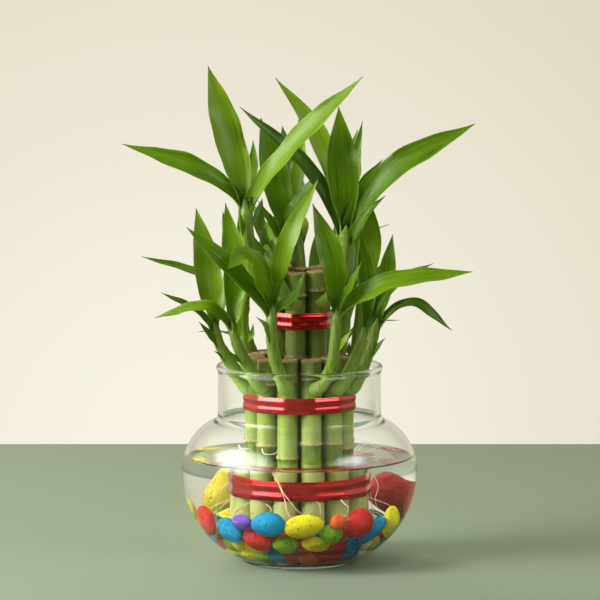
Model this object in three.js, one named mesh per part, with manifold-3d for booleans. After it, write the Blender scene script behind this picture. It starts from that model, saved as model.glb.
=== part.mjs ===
// Lucky bamboo in a glass bowl: two tiers of rooted canes tied with foil ribbon, a leafy shoot on each cane,
// dyed pebbles and water. Millimetres, +Z up, origin at the centre of the bowl's foot, front towards -Y.
import * as THREE from "three";
import { mergeVertices } from "three/addons/utils/BufferGeometryUtils.js";
import Module from "manifold-3d";

const wasm = await Module();
wasm.setup();

// Clearance between pieces that touch, and the roundness of turned pieces
const GAP = 0.3;
const GRIDS = [0.01, 0.013, 0.017, 0.022, 0.028, 0.035, 0.045];
const BOWL_SIDES = 28;
const CANE_SIDES = 8;
const STEM_SIDES = 5;

// Bowl: a low belly of two half ellipses, a short straight neck and a beaded rim
const BOWL = {
  wall: 2,
  footRadius: 29.8,
  heelHeight: 1.9,
  floorHeight: 4.5,
  waistHeight: 49.5,
  lower: { centre: 12, across: 51.8, up: 51.5 },
  upper: { centre: 36, across: 27.8, up: 30 },
  lowerInside: { centre: 12, across: 49.8, up: 48 },
  upperInside: { centre: 36, across: 25.8, up: 28 },
  lowerSteps: 5,
  upperSteps: 4,
  shoulderHeight: 77.2,
  shoulderHeightInside: 75.9,
  neckFlare: { out: 0.5, below: 1.6 },
  neckStart: 80,
  neckStartInside: 79,
  neckRadius: 44.2,
  neckEnd: 103.5,
  rimHeight: 107.6,
};
const BEAD = { radius: 45.1, flatHalf: 0.7, crownDrop: 0.2, outerDrop: 1.8, innerDrop: 2 };
const WATER = { level: 57, underside: 34.5 };

// Canes: a ring of short ones round a ring of tall ones
const CANE_RADIUS = 5.5;
const CANE_FOOT = BOWL.floorHeight + GAP;
const FOOT_BEVEL = { in: 1, height: 1 };
const OUTER = { count: 12, ring: 24.5, turn: 15, top: 113, joints: [64, 103], jointSpread: 9 };
const INNER = { count: 6, ring: 12, turn: -10, top: 160, joints: [68, 112, 147], jointSpread: 4 };
const JOINT = { swell: 0.45, half: 1.3 };
const CANE_TOP_SPREAD = 2.5;

// Ribbons: foil wound twice, so that it stands in two bands with a waist between them
const RIBBON = { height: 8.7, thickness: 1.1, waistDepth: 0.5, waistHeight: 1.2, roomInCane: 1.4 };
const BAND_BEND = 30;
const RIBBON_HEIGHTS = { lower: 43.5, middle: 88.5, upper: 132.5 };

// Shoots and leaves
const SHOOT_RADII = { outer: { root: 3.1, tip: 1.3 }, inner: { root: 4.2, tip: 3 } };
const COLLAR_SWELL = 1.3;
const COLLAR_END = 0.2;
const SHOOT_ROOT_DROP = 3;
const STEM_STATIONS = [0, 0.18, 0.42, 0.72, 1];
const LEAF = {
  thickness: 1.2,
  fold: 0.34,
  foldLostAtTip: 0.5,
  wave: 0.09,
  waves: 1.6,
  sheath: 0.12,
  widestAt: 0.55,
  baseWidth: 0.34,
  taperPower: 1.7,
  tipPinch: 0.25,
  tipHalfWidth: 0.25,
};
const LEAF_STATIONS = { long: [0, 0.24, 0.42, 0.6, 0.8, 1], short: [0, 0.5, 1] };
const LONG_LEAF = 40;

// Seeds of the random differences; each cane's and pebble's own number is added to its seed
const SEEDS = {
  outerTier: 133,
  innerTier: 23,
  outerShoots: 100,
  innerShoots: 200,
  backPlans: 50,
  pebbles: 300,
};

const LEAF_GREEN = 0x5f9a1f;
const CANE_GREEN = 0x86a83e;
const GLASS_TINT = 0xe4efe9;
const WATER_TINT = 0xd8e6d8;
const FOIL_RED = 0xb3141c;
const BED_COLOUR = 0xb9b07a;
const DYES = {
  blue: 0x0a8ec8,
  red: 0xc92f2a,
  yellow: 0xd8cb1c,
  green: 0x6fa81b,
  purple: 0x7d60b8,
  orange: 0xd9622b,
  teal: 0x1c93a0,
};

const vec = (x, y, z) => new THREE.Vector3(x, y, z);
const radians = THREE.MathUtils.degToRad;

/** Repeatable random numbers from 0 to 1. */
function seeded(seed) {
  let state = seed >>> 0;
  return () => {
    state = (state + 0x6d2b79f5) >>> 0;
    let mixed = Math.imul(state ^ (state >>> 15), 1 | state);
    mixed = (mixed + Math.imul(mixed ^ (mixed >>> 7), 61 | mixed)) ^ mixed;
    return ((mixed ^ (mixed >>> 14)) >>> 0) / 4294967296;
  };
}

/** A point on a circle about the bowl's axis, at an angle from the front that grows towards +X. */
function around(radius, angle, height) {
  return vec(radius * Math.sin(radians(angle)), -radius * Math.cos(radians(angle)), height);
}

/** The solid that a closed geometry bounds. */
function toSolid(geometry) {
  const bare = geometry.clone();
  bare.deleteAttribute("normal");
  bare.deleteAttribute("uv");
  const merged = mergeVertices(bare, 1e-4);
  const mesh = new wasm.Mesh({
    numProp: 3,
    vertProperties: new Float32Array(merged.attributes.position.array),
    triVerts: new Uint32Array(merged.index.array),
  });
  return new wasm.Manifold(mesh);
}

/** The geometry of a solid's surface. */
function toGeometry(solid) {
  const { vertProperties, triVerts } = solid.getMesh();
  const geometry = new THREE.BufferGeometry();
  geometry.setAttribute("position", new THREE.BufferAttribute(new Float32Array(vertProperties), 3));
  geometry.setIndex(new THREE.BufferAttribute(new Uint32Array(triVerts), 1));
  return geometry;
}

/** The largest body of a solid: loose scraps go, and hollows that a join sealed are filled. */
function mainBody(solid) {
  return solid.decompose().reduce((best, body) => (body.volume() > best.volume() ? body : best));
}

/** A geometry with its corners snapped to a grid, merged, and rid of the triangles that this closes up. */
function onGrid(geometry, grid) {
  const places = geometry.attributes.position.array.map((value) => Math.round(value / grid) * grid);
  const moved = new THREE.BufferGeometry();
  moved.setAttribute("position", new THREE.BufferAttribute(places, 3));
  moved.setIndex(geometry.index);
  const merged = mergeVertices(moved, grid / 10);
  const corners = merged.index.array;
  const kept = [];
  for (let i = 0; i < corners.length; i += 3) {
    const [a, b, c] = corners.slice(i, i + 3);
    if (a !== b && b !== c && c !== a) kept.push(a, b, c);
  }
  merged.setIndex(kept);
  return merged;
}

/** Whether each edge of a merged geometry joins just two triangles. */
function isClean(geometry) {
  const corners = geometry.index.array;
  const uses = new Map();
  for (let i = 0; i < corners.length; i += 3) {
    for (let k = 0; k < 3; k++) {
      const ends = [corners[i + k], corners[i + ((k + 1) % 3)]];
      const edge = `${Math.min(...ends)},${Math.max(...ends)}`;
      uses.set(edge, (uses.get(edge) ?? 0) + 1);
    }
  }
  return [...uses.values()].every((count) => count === 2);
}

/** The surface of a solid, on the finest grid that rids it of the slivers that joins and cuts leave. */
function cleanGeometry(solid) {
  for (const grid of GRIDS) {
    const geometry = onGrid(toGeometry(mainBody(toSolid(onGrid(toGeometry(solid), grid)))), grid);
    if (isClean(geometry)) return geometry;
  }
  throw new Error("no grid gives a clean surface");
}

/** All the solids joined in one. */
function join(solids) {
  return solids.reduce((sum, solid) => sum.add(solid));
}

/** A solid turned about the Z axis from a profile of [radius, height] points. */
function turned(profile, sides) {
  const geometry = new THREE.LatheGeometry(profile, sides);
  geometry.rotateX(Math.PI / 2);
  return toSolid(geometry);
}

/** A closed solid skinned over rings of points, all of one count, with a flat cap on each end. */
function skinned(rings) {
  const count = rings[0].length;
  const last = (rings.length - 1) * count;
  const faces = [];
  for (let row = 0; row < rings.length - 1; row++) {
    for (let i = 0; i < count; i++) {
      const here = row * count + i;
      const next = row * count + ((i + 1) % count);
      faces.push(here, next + count, next, here, here + count, next + count);
    }
  }
  for (let i = 1; i < count - 1; i++) faces.push(0, i, i + 1, last, last + i + 1, last + i);
  const geometry = new THREE.BufferGeometry().setFromPoints(rings.flat());
  geometry.setIndex(faces);
  return toSolid(geometry);
}

/** A closed solid skinned over rings of points that follow one another in a circle. */
function ringSolid(rings) {
  const count = rings[0].length;
  const faces = [];
  rings.forEach((_, row) => {
    const beyond = ((row + 1) % rings.length) * count;
    for (let i = 0; i < count; i++) {
      const here = row * count + i;
      const next = row * count + ((i + 1) % count);
      const nextBeyond = beyond + ((i + 1) % count);
      faces.push(here, nextBeyond, next, here, beyond + i, nextBeyond);
    }
  });
  const geometry = new THREE.BufferGeometry().setFromPoints(rings.flat());
  geometry.setIndex(faces);
  return toSolid(geometry);
}

// The bowl

/** Half ellipse of a belly, as [radius, height] points, from one angle to another in degrees. */
function bellyArc({ centre, across, up }, from, to, steps) {
  return Array.from({ length: steps + 1 }, (_, i) => {
    const angle = radians(from + ((to - from) * i) / steps);
    return new THREE.Vector2(centre + across * Math.cos(angle), BOWL.waistHeight + up * Math.sin(angle));
  });
}

/** The angle in degrees at which a belly's ellipse reaches a height. */
function bellyAngle({ up }, height) {
  return THREE.MathUtils.radToDeg(Math.asin((height - BOWL.waistHeight) / up));
}

/** The inside radius of the belly at a height. */
function insideRadius(height) {
  const half = height < BOWL.waistHeight ? BOWL.lowerInside : BOWL.upperInside;
  return half.centre + half.across * Math.cos(radians(bellyAngle(half, height)));
}

/** The glass: outside profile up from the foot, over the bead of the rim and down the inside to the floor. */
function bowlSolid() {
  const { lowerInside, upperInside } = BOWL;
  const neckInside = BOWL.neckRadius - BOWL.wall;
  const beadMiddle = (BEAD.radius + neckInside) / 2;
  const outside = [
    new THREE.Vector2(0, 0),
    new THREE.Vector2(BOWL.footRadius, 0),
    ...bellyArc(BOWL.lower, bellyAngle(BOWL.lower, BOWL.heelHeight), 0, BOWL.lowerSteps),
    ...bellyArc(BOWL.upper, 0, bellyAngle(BOWL.upper, BOWL.shoulderHeight), BOWL.upperSteps).slice(1),
    new THREE.Vector2(BOWL.neckRadius + BOWL.neckFlare.out, BOWL.neckStart - BOWL.neckFlare.below),
    new THREE.Vector2(BOWL.neckRadius, BOWL.neckStart),
    new THREE.Vector2(BOWL.neckRadius, BOWL.neckEnd),
    new THREE.Vector2(BEAD.radius, BOWL.rimHeight - BEAD.outerDrop),
    new THREE.Vector2(beadMiddle + BEAD.flatHalf, BOWL.rimHeight - BEAD.crownDrop),
  ];
  const inside = [
    new THREE.Vector2(beadMiddle - BEAD.flatHalf, BOWL.rimHeight),
    new THREE.Vector2(neckInside, BOWL.rimHeight - BEAD.innerDrop),
    new THREE.Vector2(neckInside, BOWL.neckStartInside),
    ...bellyArc(upperInside, bellyAngle(upperInside, BOWL.shoulderHeightInside), 0, BOWL.upperSteps),
    ...bellyArc(lowerInside, 0, bellyAngle(lowerInside, BOWL.floorHeight), BOWL.lowerSteps).slice(1),
    new THREE.Vector2(0, BOWL.floorHeight),
  ];
  return turned([...outside, ...inside], BOWL_SIDES);
}

/** The belly's inside from its floor to the shoulder, the usual gap clear of the glass all round. */
function bellyRoom() {
  const shrink = ({ centre, across, up }) => ({ centre, across: across - GAP, up: up - GAP / 2 });
  const { lowerInside, upperInside, lowerSteps, upperSteps, floorHeight, shoulderHeightInside } = BOWL;
  const profile = [
    new THREE.Vector2(0, floorHeight + GAP),
    ...bellyArc(shrink(lowerInside), bellyAngle(lowerInside, floorHeight), 0, lowerSteps),
    ...bellyArc(shrink(upperInside), 0, bellyAngle(upperInside, shoulderHeightInside), upperSteps).slice(1),
    new THREE.Vector2(0, shoulderHeightInside),
  ];
  return turned(profile, BOWL_SIDES);
}

/** A flat layer that reaches past the whole bowl, between two heights. */
function layer(bottom, top) {
  const side = 2 * (BOWL.lower.centre + BOWL.lower.across) + 1;
  return toSolid(new THREE.BoxGeometry(side, side, top - bottom).translate(0, 0, (bottom + top) / 2));
}

// The canes

/** The centres of a tier's canes, in order from the front towards +X. */
function caneCentres({ count, ring, turn }) {
  return Array.from({ length: count }, (_, i) => around(ring, turn + (360 / count) * i, 0));
}

/** A straight cane with a swollen ring at each joint; grow makes it larger all over, to cut holes for it. */
function caneSolid(centre, top, joints, grow = 0) {
  const radius = CANE_RADIUS + grow;
  const foot = CANE_FOOT - grow;
  const profile = [new THREE.Vector2(0, foot), new THREE.Vector2(radius - FOOT_BEVEL.in, foot)];
  profile.push(new THREE.Vector2(radius, foot + FOOT_BEVEL.height));
  for (const height of joints) {
    profile.push(new THREE.Vector2(radius, height - JOINT.half));
    profile.push(new THREE.Vector2(radius + JOINT.swell, height));
    profile.push(new THREE.Vector2(radius, height + JOINT.half));
  }
  profile.push(new THREE.Vector2(radius, top + grow), new THREE.Vector2(0, top + grow));
  return turned(profile, CANE_SIDES).translate([centre.x, centre.y, 0]);
}

/** Each cane of a tier with its own small differences of height. */
function caneTier(tier, seed) {
  const random = seeded(seed);
  return caneCentres(tier).map((centre) => {
    const top = tier.top + (random() - 0.5) * CANE_TOP_SPREAD;
    const joints = tier.joints.map((height) => height + (random() - 0.5) * tier.jointSpread);
    return {
      centre,
      top,
      solid: caneSolid(centre, top, joints),
      hole: caneSolid(centre, top, joints, GAP),
    };
  });
}

// The shoots

/** How wide a leaf is along its length, as a share of its greatest width. */
function leafWidth(along) {
  const { widestAt, baseWidth, taperPower, tipPinch } = LEAF;
  if (along < widestAt) {
    const short = 1 - along / widestAt;
    return 1 - (1 - baseWidth) * short * short;
  }
  const past = (along - widestAt) / (1 - widestAt);
  return (1 - past ** taperPower) * (1 - tipPinch * past ** 2);
}

/** One leaf: a waved, folded blade that starts inside its stem and runs out to a point. */
function leafSolid(stem, { at, through, tip, width, face }, phase) {
  const root = stem.getPointAt(Math.max(0, at - LEAF.sheath));
  const base = stem.getPointAt(at);
  const line = new THREE.CatmullRomCurve3([root, base, vec(...through), vec(...tip)], false, "centripetal");
  const facing = vec(...face).normalize();
  const stations = line.getLength() > LONG_LEAF ? LEAF_STATIONS.long : LEAF_STATIONS.short;
  const rings = stations.map((along) => {
    const centre = line.getPointAt(along);
    const ahead = line.getTangentAt(along);
    const up = facing.clone().addScaledVector(ahead, -facing.dot(ahead)).normalize();
    const side = new THREE.Vector3().crossVectors(ahead, up);
    const half = Math.max((width / 2) * leafWidth(along), LEAF.tipHalfWidth);
    const fold = LEAF.fold * half * (1 - LEAF.foldLostAtTip * along);
    const wave = LEAF.wave * half * Math.sin(2 * Math.PI * LEAF.waves * along + phase);
    const place = (across, lift) => centre.clone().addScaledVector(side, across).addScaledVector(up, lift);
    return [place(half, fold + wave), place(0, 0), place(-half, fold - wave), place(0, -LEAF.thickness)];
  });
  return skinned(rings);
}

/** The round stem of a shoot, thick at its collar and slim where the last leaves open. */
function stemSolid(stem, { root, tip }) {
  const rings = STEM_STATIONS.map((along) => {
    const centre = stem.getPointAt(along);
    const ahead = stem.getTangentAt(along);
    const side = new THREE.Vector3().crossVectors(ahead, vec(0, 1, 0)).normalize();
    const front = new THREE.Vector3().crossVectors(side, ahead);
    const swell = along < COLLAR_END ? COLLAR_SWELL : 1;
    const radius = swell * THREE.MathUtils.lerp(root, tip, along ** 2);
    return Array.from({ length: STEM_SIDES }, (_, k) => {
      const angle = (2 * Math.PI * k) / STEM_SIDES;
      const spoke = side.clone().multiplyScalar(radius * Math.cos(angle));
      return centre.clone().add(spoke).addScaledVector(front, radius * Math.sin(angle));
    });
  });
  return skinned(rings);
}

/** A whole leafy shoot, cut to sit on the side of its cane. */
function shootSolid(cane, { stem, leaves }, radii, seed) {
  const random = seeded(seed);
  const points = stem.map((point) => vec(...point));
  const root = vec(cane.centre.x, cane.centre.y, points[0].z - SHOOT_ROOT_DROP);
  const line = new THREE.CatmullRomCurve3([root, ...points], false, "centripetal");
  const blades = leaves.map((leaf) => leafSolid(line, leaf, random() * 2 * Math.PI));
  return mainBody(join([stemSolid(line, radii), ...blades]).subtract(cane.hole));
}

const leaf = (at, through, tip, width, face) => ({ at, through, tip, width, face });

// Shoots that the front shows: the stem's points, then each leaf's start along the stem, middle, tip,
// width and the way its upper face looks
const FRONT_SHOOTS = {
  outer_12: {
    stem: [[-8, -29, 100], [-12, -33, 111], [-15, -35, 128], [-14, -33, 145]],
    leaves: [
      leaf(0.85, [-32, -42, 160], [-60, -40, 186], 12, [0.2, -0.8, 0.6]),
      leaf(0.95, [-28, -46, 171], [-38, -62, 166], 16, [0.15, -0.7, 0.7]),
      leaf(1.0, [-6, -40, 179], [10, -30, 211], 11, [-0.3, -0.9, 0.3]),
      leaf(0.9, [-4, -38, 148], [3, -40, 162], 6.5, [-0.6, -0.7, 0.3]),
      leaf(0.5, [-18, -38, 133], [-23, -39, 138], 5, [0.3, -0.7, 0.6]),
    ],
  },
  outer_01: {
    stem: [[11, -29, 100], [17, -33, 110], [19, -35, 125], [20, -33, 143]],
    leaves: [
      leaf(1.0, [17.5, -38.5, 167], [7, -34, 198], 14, [0.2, -0.95, 0.2]),
      leaf(0.9, [45, -42, 155.5], [92, -38, 162], 13.5, [-0.1, -0.68, 0.7]),
      leaf(0.95, [27, -40, 154], [33, -43, 168], 6.5, [-0.8, -0.5, 0.3]),
      leaf(0.9, [16, -34, 148], [14, -30, 155], 5, [0.6, -0.7, 0.3]),
      leaf(0.5, [23, -38, 124], [28, -39, 131], 5, [-0.4, -0.7, 0.6]),
    ],
  },
  outer_11: {
    stem: [[-22, -22, 100], [-29, -27, 113], [-34, -29, 124], [-36, -28, 134]],
    leaves: [
      leaf(1.0, [-34.5, -24, 160], [-39.5, -20, 197], 13.5, [0.1, -0.95, 0.2]),
      leaf(0.9, [-49, -33, 142.5], [-77, -30, 136.5], 9, [0.1, -0.6, 0.8]),
      leaf(0.75, [-32, -33, 132], [-31, -34, 138], 6, [-0.2, -0.8, 0.5]),
      leaf(0.45, [-37, -32, 117], [-39, -34, 122], 4, [0.3, -0.8, 0.5]),
    ],
  },
  outer_10: {
    stem: [[-29, -8, 97], [-36, -11, 108], [-43, -13, 120], [-46, -12, 132]],
    leaves: [
      leaf(0.6, [-50, -17, 128], [-54, -19, 133], 5, [0.3, -0.7, 0.6]),
      leaf(0.85, [-54, -18, 138], [-74, -22, 149], 6, [0.2, -0.6, 0.75]),
      leaf(1.0, [-50.5, -12, 167], [-55.5, -8, 193], 15, [0.2, -0.95, 0.2]),
      leaf(0.95, [-41, -6, 144], [-41, -2, 156], 6, [-0.5, -0.8, 0.2]),
      leaf(0.4, [-42, -15, 114], [-46, -17, 117], 4, [0.3, -0.7, 0.6]),
    ],
  },
  outer_09: {
    stem: [[-28, 8, 97], [-29, 12, 107], [-31, 15, 124], [-29, 13, 148]],
    leaves: [
      leaf(1.0, [-31, 14, 168], [-33, 16, 188], 8, [0.3, -0.9, 0.2]),
      leaf(0.95, [-23, 10, 162], [-20, 8, 176], 7, [-0.4, -0.9, 0.2]),
      leaf(0.85, [-55, 18, 155], [-86, 20, 164], 7.5, [0.2, -0.6, 0.8]),
      leaf(0.9, [-20, 22, 165], [-16, 36, 184], 9, [-0.3, 0.9, 0.3]),
      leaf(0.45, [-26, 10, 122], [-25, 8, 129], 4, [-0.3, -0.8, 0.5]),
    ],
  },
  outer_02: {
    stem: [[22, -22, 99], [28, -26, 110], [33, -27, 123], [36, -26, 134]],
    leaves: [
      leaf(1.0, [36, -22, 154], [33, -21, 181], 10, [0.1, -0.95, 0.2]),
      leaf(0.8, [38, -31, 136], [39, -32, 140], 5, [-0.3, -0.8, 0.5]),
      leaf(0.95, [53, -20, 155], [72, -14, 164], 7, [-0.1, -0.6, 0.8]),
    ],
  },
  outer_03: {
    stem: [[29, -8, 97], [34, -11, 107], [39, -13, 121], [42, -12, 134]],
    leaves: [
      leaf(1.0, [46.5, -13, 156], [50, -10, 179], 10, [-0.1, -0.95, 0.2]),
      leaf(0.9, [60, -16, 143], [82, -18, 128], 7.5, [-0.1, -0.6, 0.8]),
      leaf(0.45, [42, -16, 119], [46, -17, 124], 5, [-0.3, -0.7, 0.6]),
    ],
  },
  outer_04: {
    stem: [[29, 8, 97], [30, 12, 107], [32, 15, 124], [34, 13, 146]],
    leaves: [
      leaf(1.0, [38, 8, 171], [37, -2, 199], 13, [0, -1, 0.1]),
      leaf(0.95, [35, 22, 161], [29, 28, 176], 9, [0.2, -0.9, 0.3]),
      leaf(0.4, [27, 10, 113], [27, 8, 119], 4, [0.3, -0.8, 0.5]),
    ],
  },
  inner_06: {
    stem: [[-15, -8, 144], [-23, -10, 153], [-27, -11, 170], [-29.5, -10, 198]],
    leaves: [
      leaf(0.95, [-53, -15, 214], [-95, -12, 228], 12, [0.1, -0.8, 0.6]),
      leaf(1.0, [-39.5, -6, 235], [-49, -2, 269], 18, [0.3, -0.9, 0.2]),
      leaf(0.9, [0, -24, 232], [34, -24, 265], 14.5, [-0.5, -0.7, 0.5]),
      leaf(1.0, [-25, 2, 216], [-25, 5, 229], 7, [-0.2, -0.95, 0.1]),
      leaf(0.6, [-31, -15, 186], [-32, -16, 193], 4, [0.3, -0.8, 0.4]),
    ],
  },
  inner_05: {
    stem: [[-14, 11, 146], [-15, 14, 155], [-12, 13, 166], [-8, 10, 178]],
    leaves: [
      leaf(1.0, [-13, 12, 206], [-21, 16, 240], 16, [0.2, -0.95, 0.1]),
      leaf(1.0, [0, 20, 216], [0, 24, 242], 8.5, [-0.2, -0.95, 0.1]),
      leaf(0.9, [-1, 6, 195], [11, 2, 211], 9, [-0.6, -0.7, 0.4]),
      leaf(0.85, [-16, 6, 185], [-22.5, 4, 196], 5.5, [0.4, -0.7, 0.6]),
      leaf(0.7, [-23, 18, 186], [-34, 26, 204], 9, [0.3, 0.5, 0.8]),
    ],
  },
  inner_01: {
    stem: [[-6.5, -14.5, 145], [-11, -17, 152], [-16, -16, 163], [-18, -12, 174]],
    leaves: [
      leaf(1.0, [-22, -7, 186], [-20, -2, 198], 7, [0.3, -0.9, 0.3]),
      leaf(0.9, [-15.5, -13, 170], [-14.5, -12, 177], 5, [0, -0.9, 0.3]),
      leaf(0.75, [-21, -19, 171], [-25, -21, 180], 5, [0.3, -0.8, 0.5]),
    ],
  },
  inner_02: {
    stem: [[15, -8, 145], [21, -10, 154], [24, -11, 168], [25, -10, 184]],
    leaves: [
      leaf(1.0, [23, -15, 217], [21, -12, 248], 17.5, [0, -0.98, 0.15]),
      leaf(0.92, [48, -18, 213], [94, -14, 239], 15.5, [-0.3, -0.85, 0.4]),
      leaf(1.0, [9, 4, 233], [-13, 10, 262], 12, [0.3, -0.9, 0.1]),
      leaf(0.8, [8, -6, 210], [-32, -12, 248], 10, [0.3, -0.8, 0.5]),
      leaf(0.7, [37, -19, 192], [46, -21, 201], 7, [-0.3, -0.7, 0.6]),
      leaf(1.0, [31, 3, 223], [34, 5, 239], 7, [-0.2, -0.95, 0.1]),
      leaf(0.9, [36, 5, 206], [45, 9, 218], 9, [-0.4, -0.8, 0.4]),
    ],
  },
};

// Shoots behind, by one rule: the angle that each leans to, its height, and its leaves, which fan out about
// that angle by so many degrees, the lowest one to the side that first gives
const BACK_SHOOTS = {
  outer_05: { lean: 149, reach: 14, rise: 44, leaves: 5, length: 66, width: 12.5, fan: 42, first: -1 },
  outer_06: { lean: 166, reach: 12, rise: 34, leaves: 4, length: 48, width: 12, fan: 26, first: -1 },
  outer_07: { lean: 193, reach: 13, rise: 42, leaves: 5, length: 56, width: 12.5, fan: 28, first: -1 },
  outer_08: { lean: 240, reach: 14, rise: 36, leaves: 4, length: 58, width: 12, fan: 52, first: 1 },
  inner_03: { lean: 130, reach: 12, rise: 33, leaves: 5, length: 52, width: 15, fan: 46, first: 1 },
  inner_04: { lean: 198, reach: 11, rise: 40, leaves: 5, length: 54, width: 15, fan: 32, first: 1 },
};
const BACK_STEM = { collarBelowTop: 14, stations: [0, 0.3, 0.7], reachOfTop: 0.9 };
const BACK_LEAF = {
  lowest: 0.5,
  steepest: 76,
  flattest: 24,
  fanLostAtTop: 0.62,
  fanSpread: 0.4,
  lengthSpread: 0.2,
  lowestLength: 0.5,
  lowestWidth: 0.6,
  insideStem: 0.95,
  droop: 0.18,
  faceBack: 0.8,
  faceUp: 0.5,
};

/** The stem and leaves of a shoot behind: its leaves fan out to both sides in turn, steeper higher up. */
function backShoot(cane, { lean, reach, rise, leaves, length, width, fan, first }, seed) {
  const random = seeded(seed);
  const vary = (spread) => 1 + spread * (random() - 0.5);
  const collar = cane.top - BACK_STEM.collarBelowTop;
  const along = (share) => around(CANE_RADIUS + reach * share, lean, collar + rise * share).add(cane.centre);
  const stem = BACK_STEM.stations.map((share) => along(share).toArray());
  const top = along(BACK_STEM.reachOfTop);
  stem.push([top.x, top.y, collar + rise]);
  const blades = Array.from({ length: leaves }, (_, i) => {
    const share = i / (leaves - 1);
    const side = i % 2 ? -first : first;
    const turn = lean + side * fan * (1 - BACK_LEAF.fanLostAtTop * share) * vary(BACK_LEAF.fanSpread);
    const steep = radians(THREE.MathUtils.lerp(BACK_LEAF.flattest, BACK_LEAF.steepest, share));
    const grown = THREE.MathUtils.lerp(BACK_LEAF.lowestLength, 1, share);
    const size = length * grown * vary(BACK_LEAF.lengthSpread);
    const at = THREE.MathUtils.lerp(BACK_LEAF.lowest, 1, share);
    const start = along(at * BACK_LEAF.insideStem);
    const out = around(Math.cos(steep), turn, Math.sin(steep));
    const middle = start.clone().addScaledVector(out, size / 2);
    const tip = start.clone().addScaledVector(out, size);
    tip.z -= size * BACK_LEAF.droop * (1 - share);
    const face = around(-BACK_LEAF.faceBack * Math.sin(steep), turn, BACK_LEAF.faceUp + Math.cos(steep));
    const breadth = width * THREE.MathUtils.lerp(BACK_LEAF.lowestWidth, 1, share);
    return leaf(at, middle.toArray(), tip.toArray(), breadth, face.toArray());
  });
  return { stem, leaves: blades };
}

// The ribbons

/** Outline of a tight band round a ring of canes: an arc of each cane, joined by straight runs. */
function bandOutline(tier, clear) {
  const half = 180 / tier.count;
  const bends = Math.round((2 * half) / BAND_BEND);
  const radius = (CANE_RADIUS + clear) / Math.cos(radians(half / bends));
  return caneCentres(tier).flatMap((centre, i) => {
    const outward = tier.turn + (360 / tier.count) * i;
    return Array.from({ length: bends + 1 }, (_, bend) =>
      centre.clone().add(around(radius, outward + half * ((2 * bend) / bends - 1), 0)),
    );
  });
}

/** A foil ribbon round a tier of canes, pinched in between its two windings. */
function ribbonSolid(tier, height) {
  const inner = bandOutline(tier, GAP);
  const waist = bandOutline(tier, GAP + RIBBON.thickness - RIBBON.waistDepth);
  const outer = bandOutline(tier, GAP + RIBBON.thickness);
  const top = height + RIBBON.height / 2;
  const bottom = height - RIBBON.height / 2;
  const section = [
    [inner, top],
    [outer, top],
    [outer, height + RIBBON.waistHeight / 2],
    [waist, height],
    [outer, height - RIBBON.waistHeight / 2],
    [outer, bottom],
    [inner, bottom],
  ];
  return ringSolid(section.map(([outline, z]) => outline.map((point) => vec(point.x, point.y, z))));
}

/** The space in the water that a ribbon needs, open to the canes that it is tied round. */
function ribbonRoom(tier, height) {
  const inner = bandOutline(tier, -RIBBON.roomInCane);
  const outer = bandOutline(tier, 2 * GAP + RIBBON.thickness);
  const reach = RIBBON.height / 2 + GAP;
  const section = [
    [inner, height + reach],
    [outer, height + reach],
    [outer, height - reach],
    [inner, height - reach],
  ];
  return ringSolid(section.map(([outline, z]) => outline.map((point) => vec(point.x, point.y, z))));
}

// The pebbles

const PEBBLE_LUMPS = [
  { axis: "x", height: 0.05, waves: 2.1 },
  { axis: "y", height: 0.05, waves: 2.7 },
  { axis: "z", height: 0.03, waves: 3 },
];

/** A rounded pebble of three diameters, slightly lumpy, turned by a heading and a tilt in degrees. */
function pebbleSolid(centre, [long, broad, thick], heading, tilt, seed, grow) {
  const random = seeded(seed);
  const lumps = PEBBLE_LUMPS.map((lump) => ({ ...lump, phase: random() * 2 * Math.PI }));
  const geometry = new THREE.IcosahedronGeometry(1, 1);
  const position = geometry.attributes.position;
  for (let i = 0; i < position.count; i++) {
    const point = vec(position.getX(i), position.getY(i), position.getZ(i));
    const swell = lumps.reduce(
      (sum, { axis, height, waves, phase }) => sum + height * Math.sin(waves * point[axis] + phase),
      1,
    );
    point.multiplyScalar(swell);
    point.multiply(vec(long / 2 + grow, broad / 2 + grow, thick / 2 + grow));
    position.setXYZ(i, point.x, point.y, point.z);
  }
  geometry.rotateY(radians(tilt));
  geometry.rotateZ(radians(heading));
  geometry.translate(centre.x, centre.y, centre.z);
  return toSolid(geometry);
}

const SEEN_CLEARANCE = 1.2;

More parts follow.
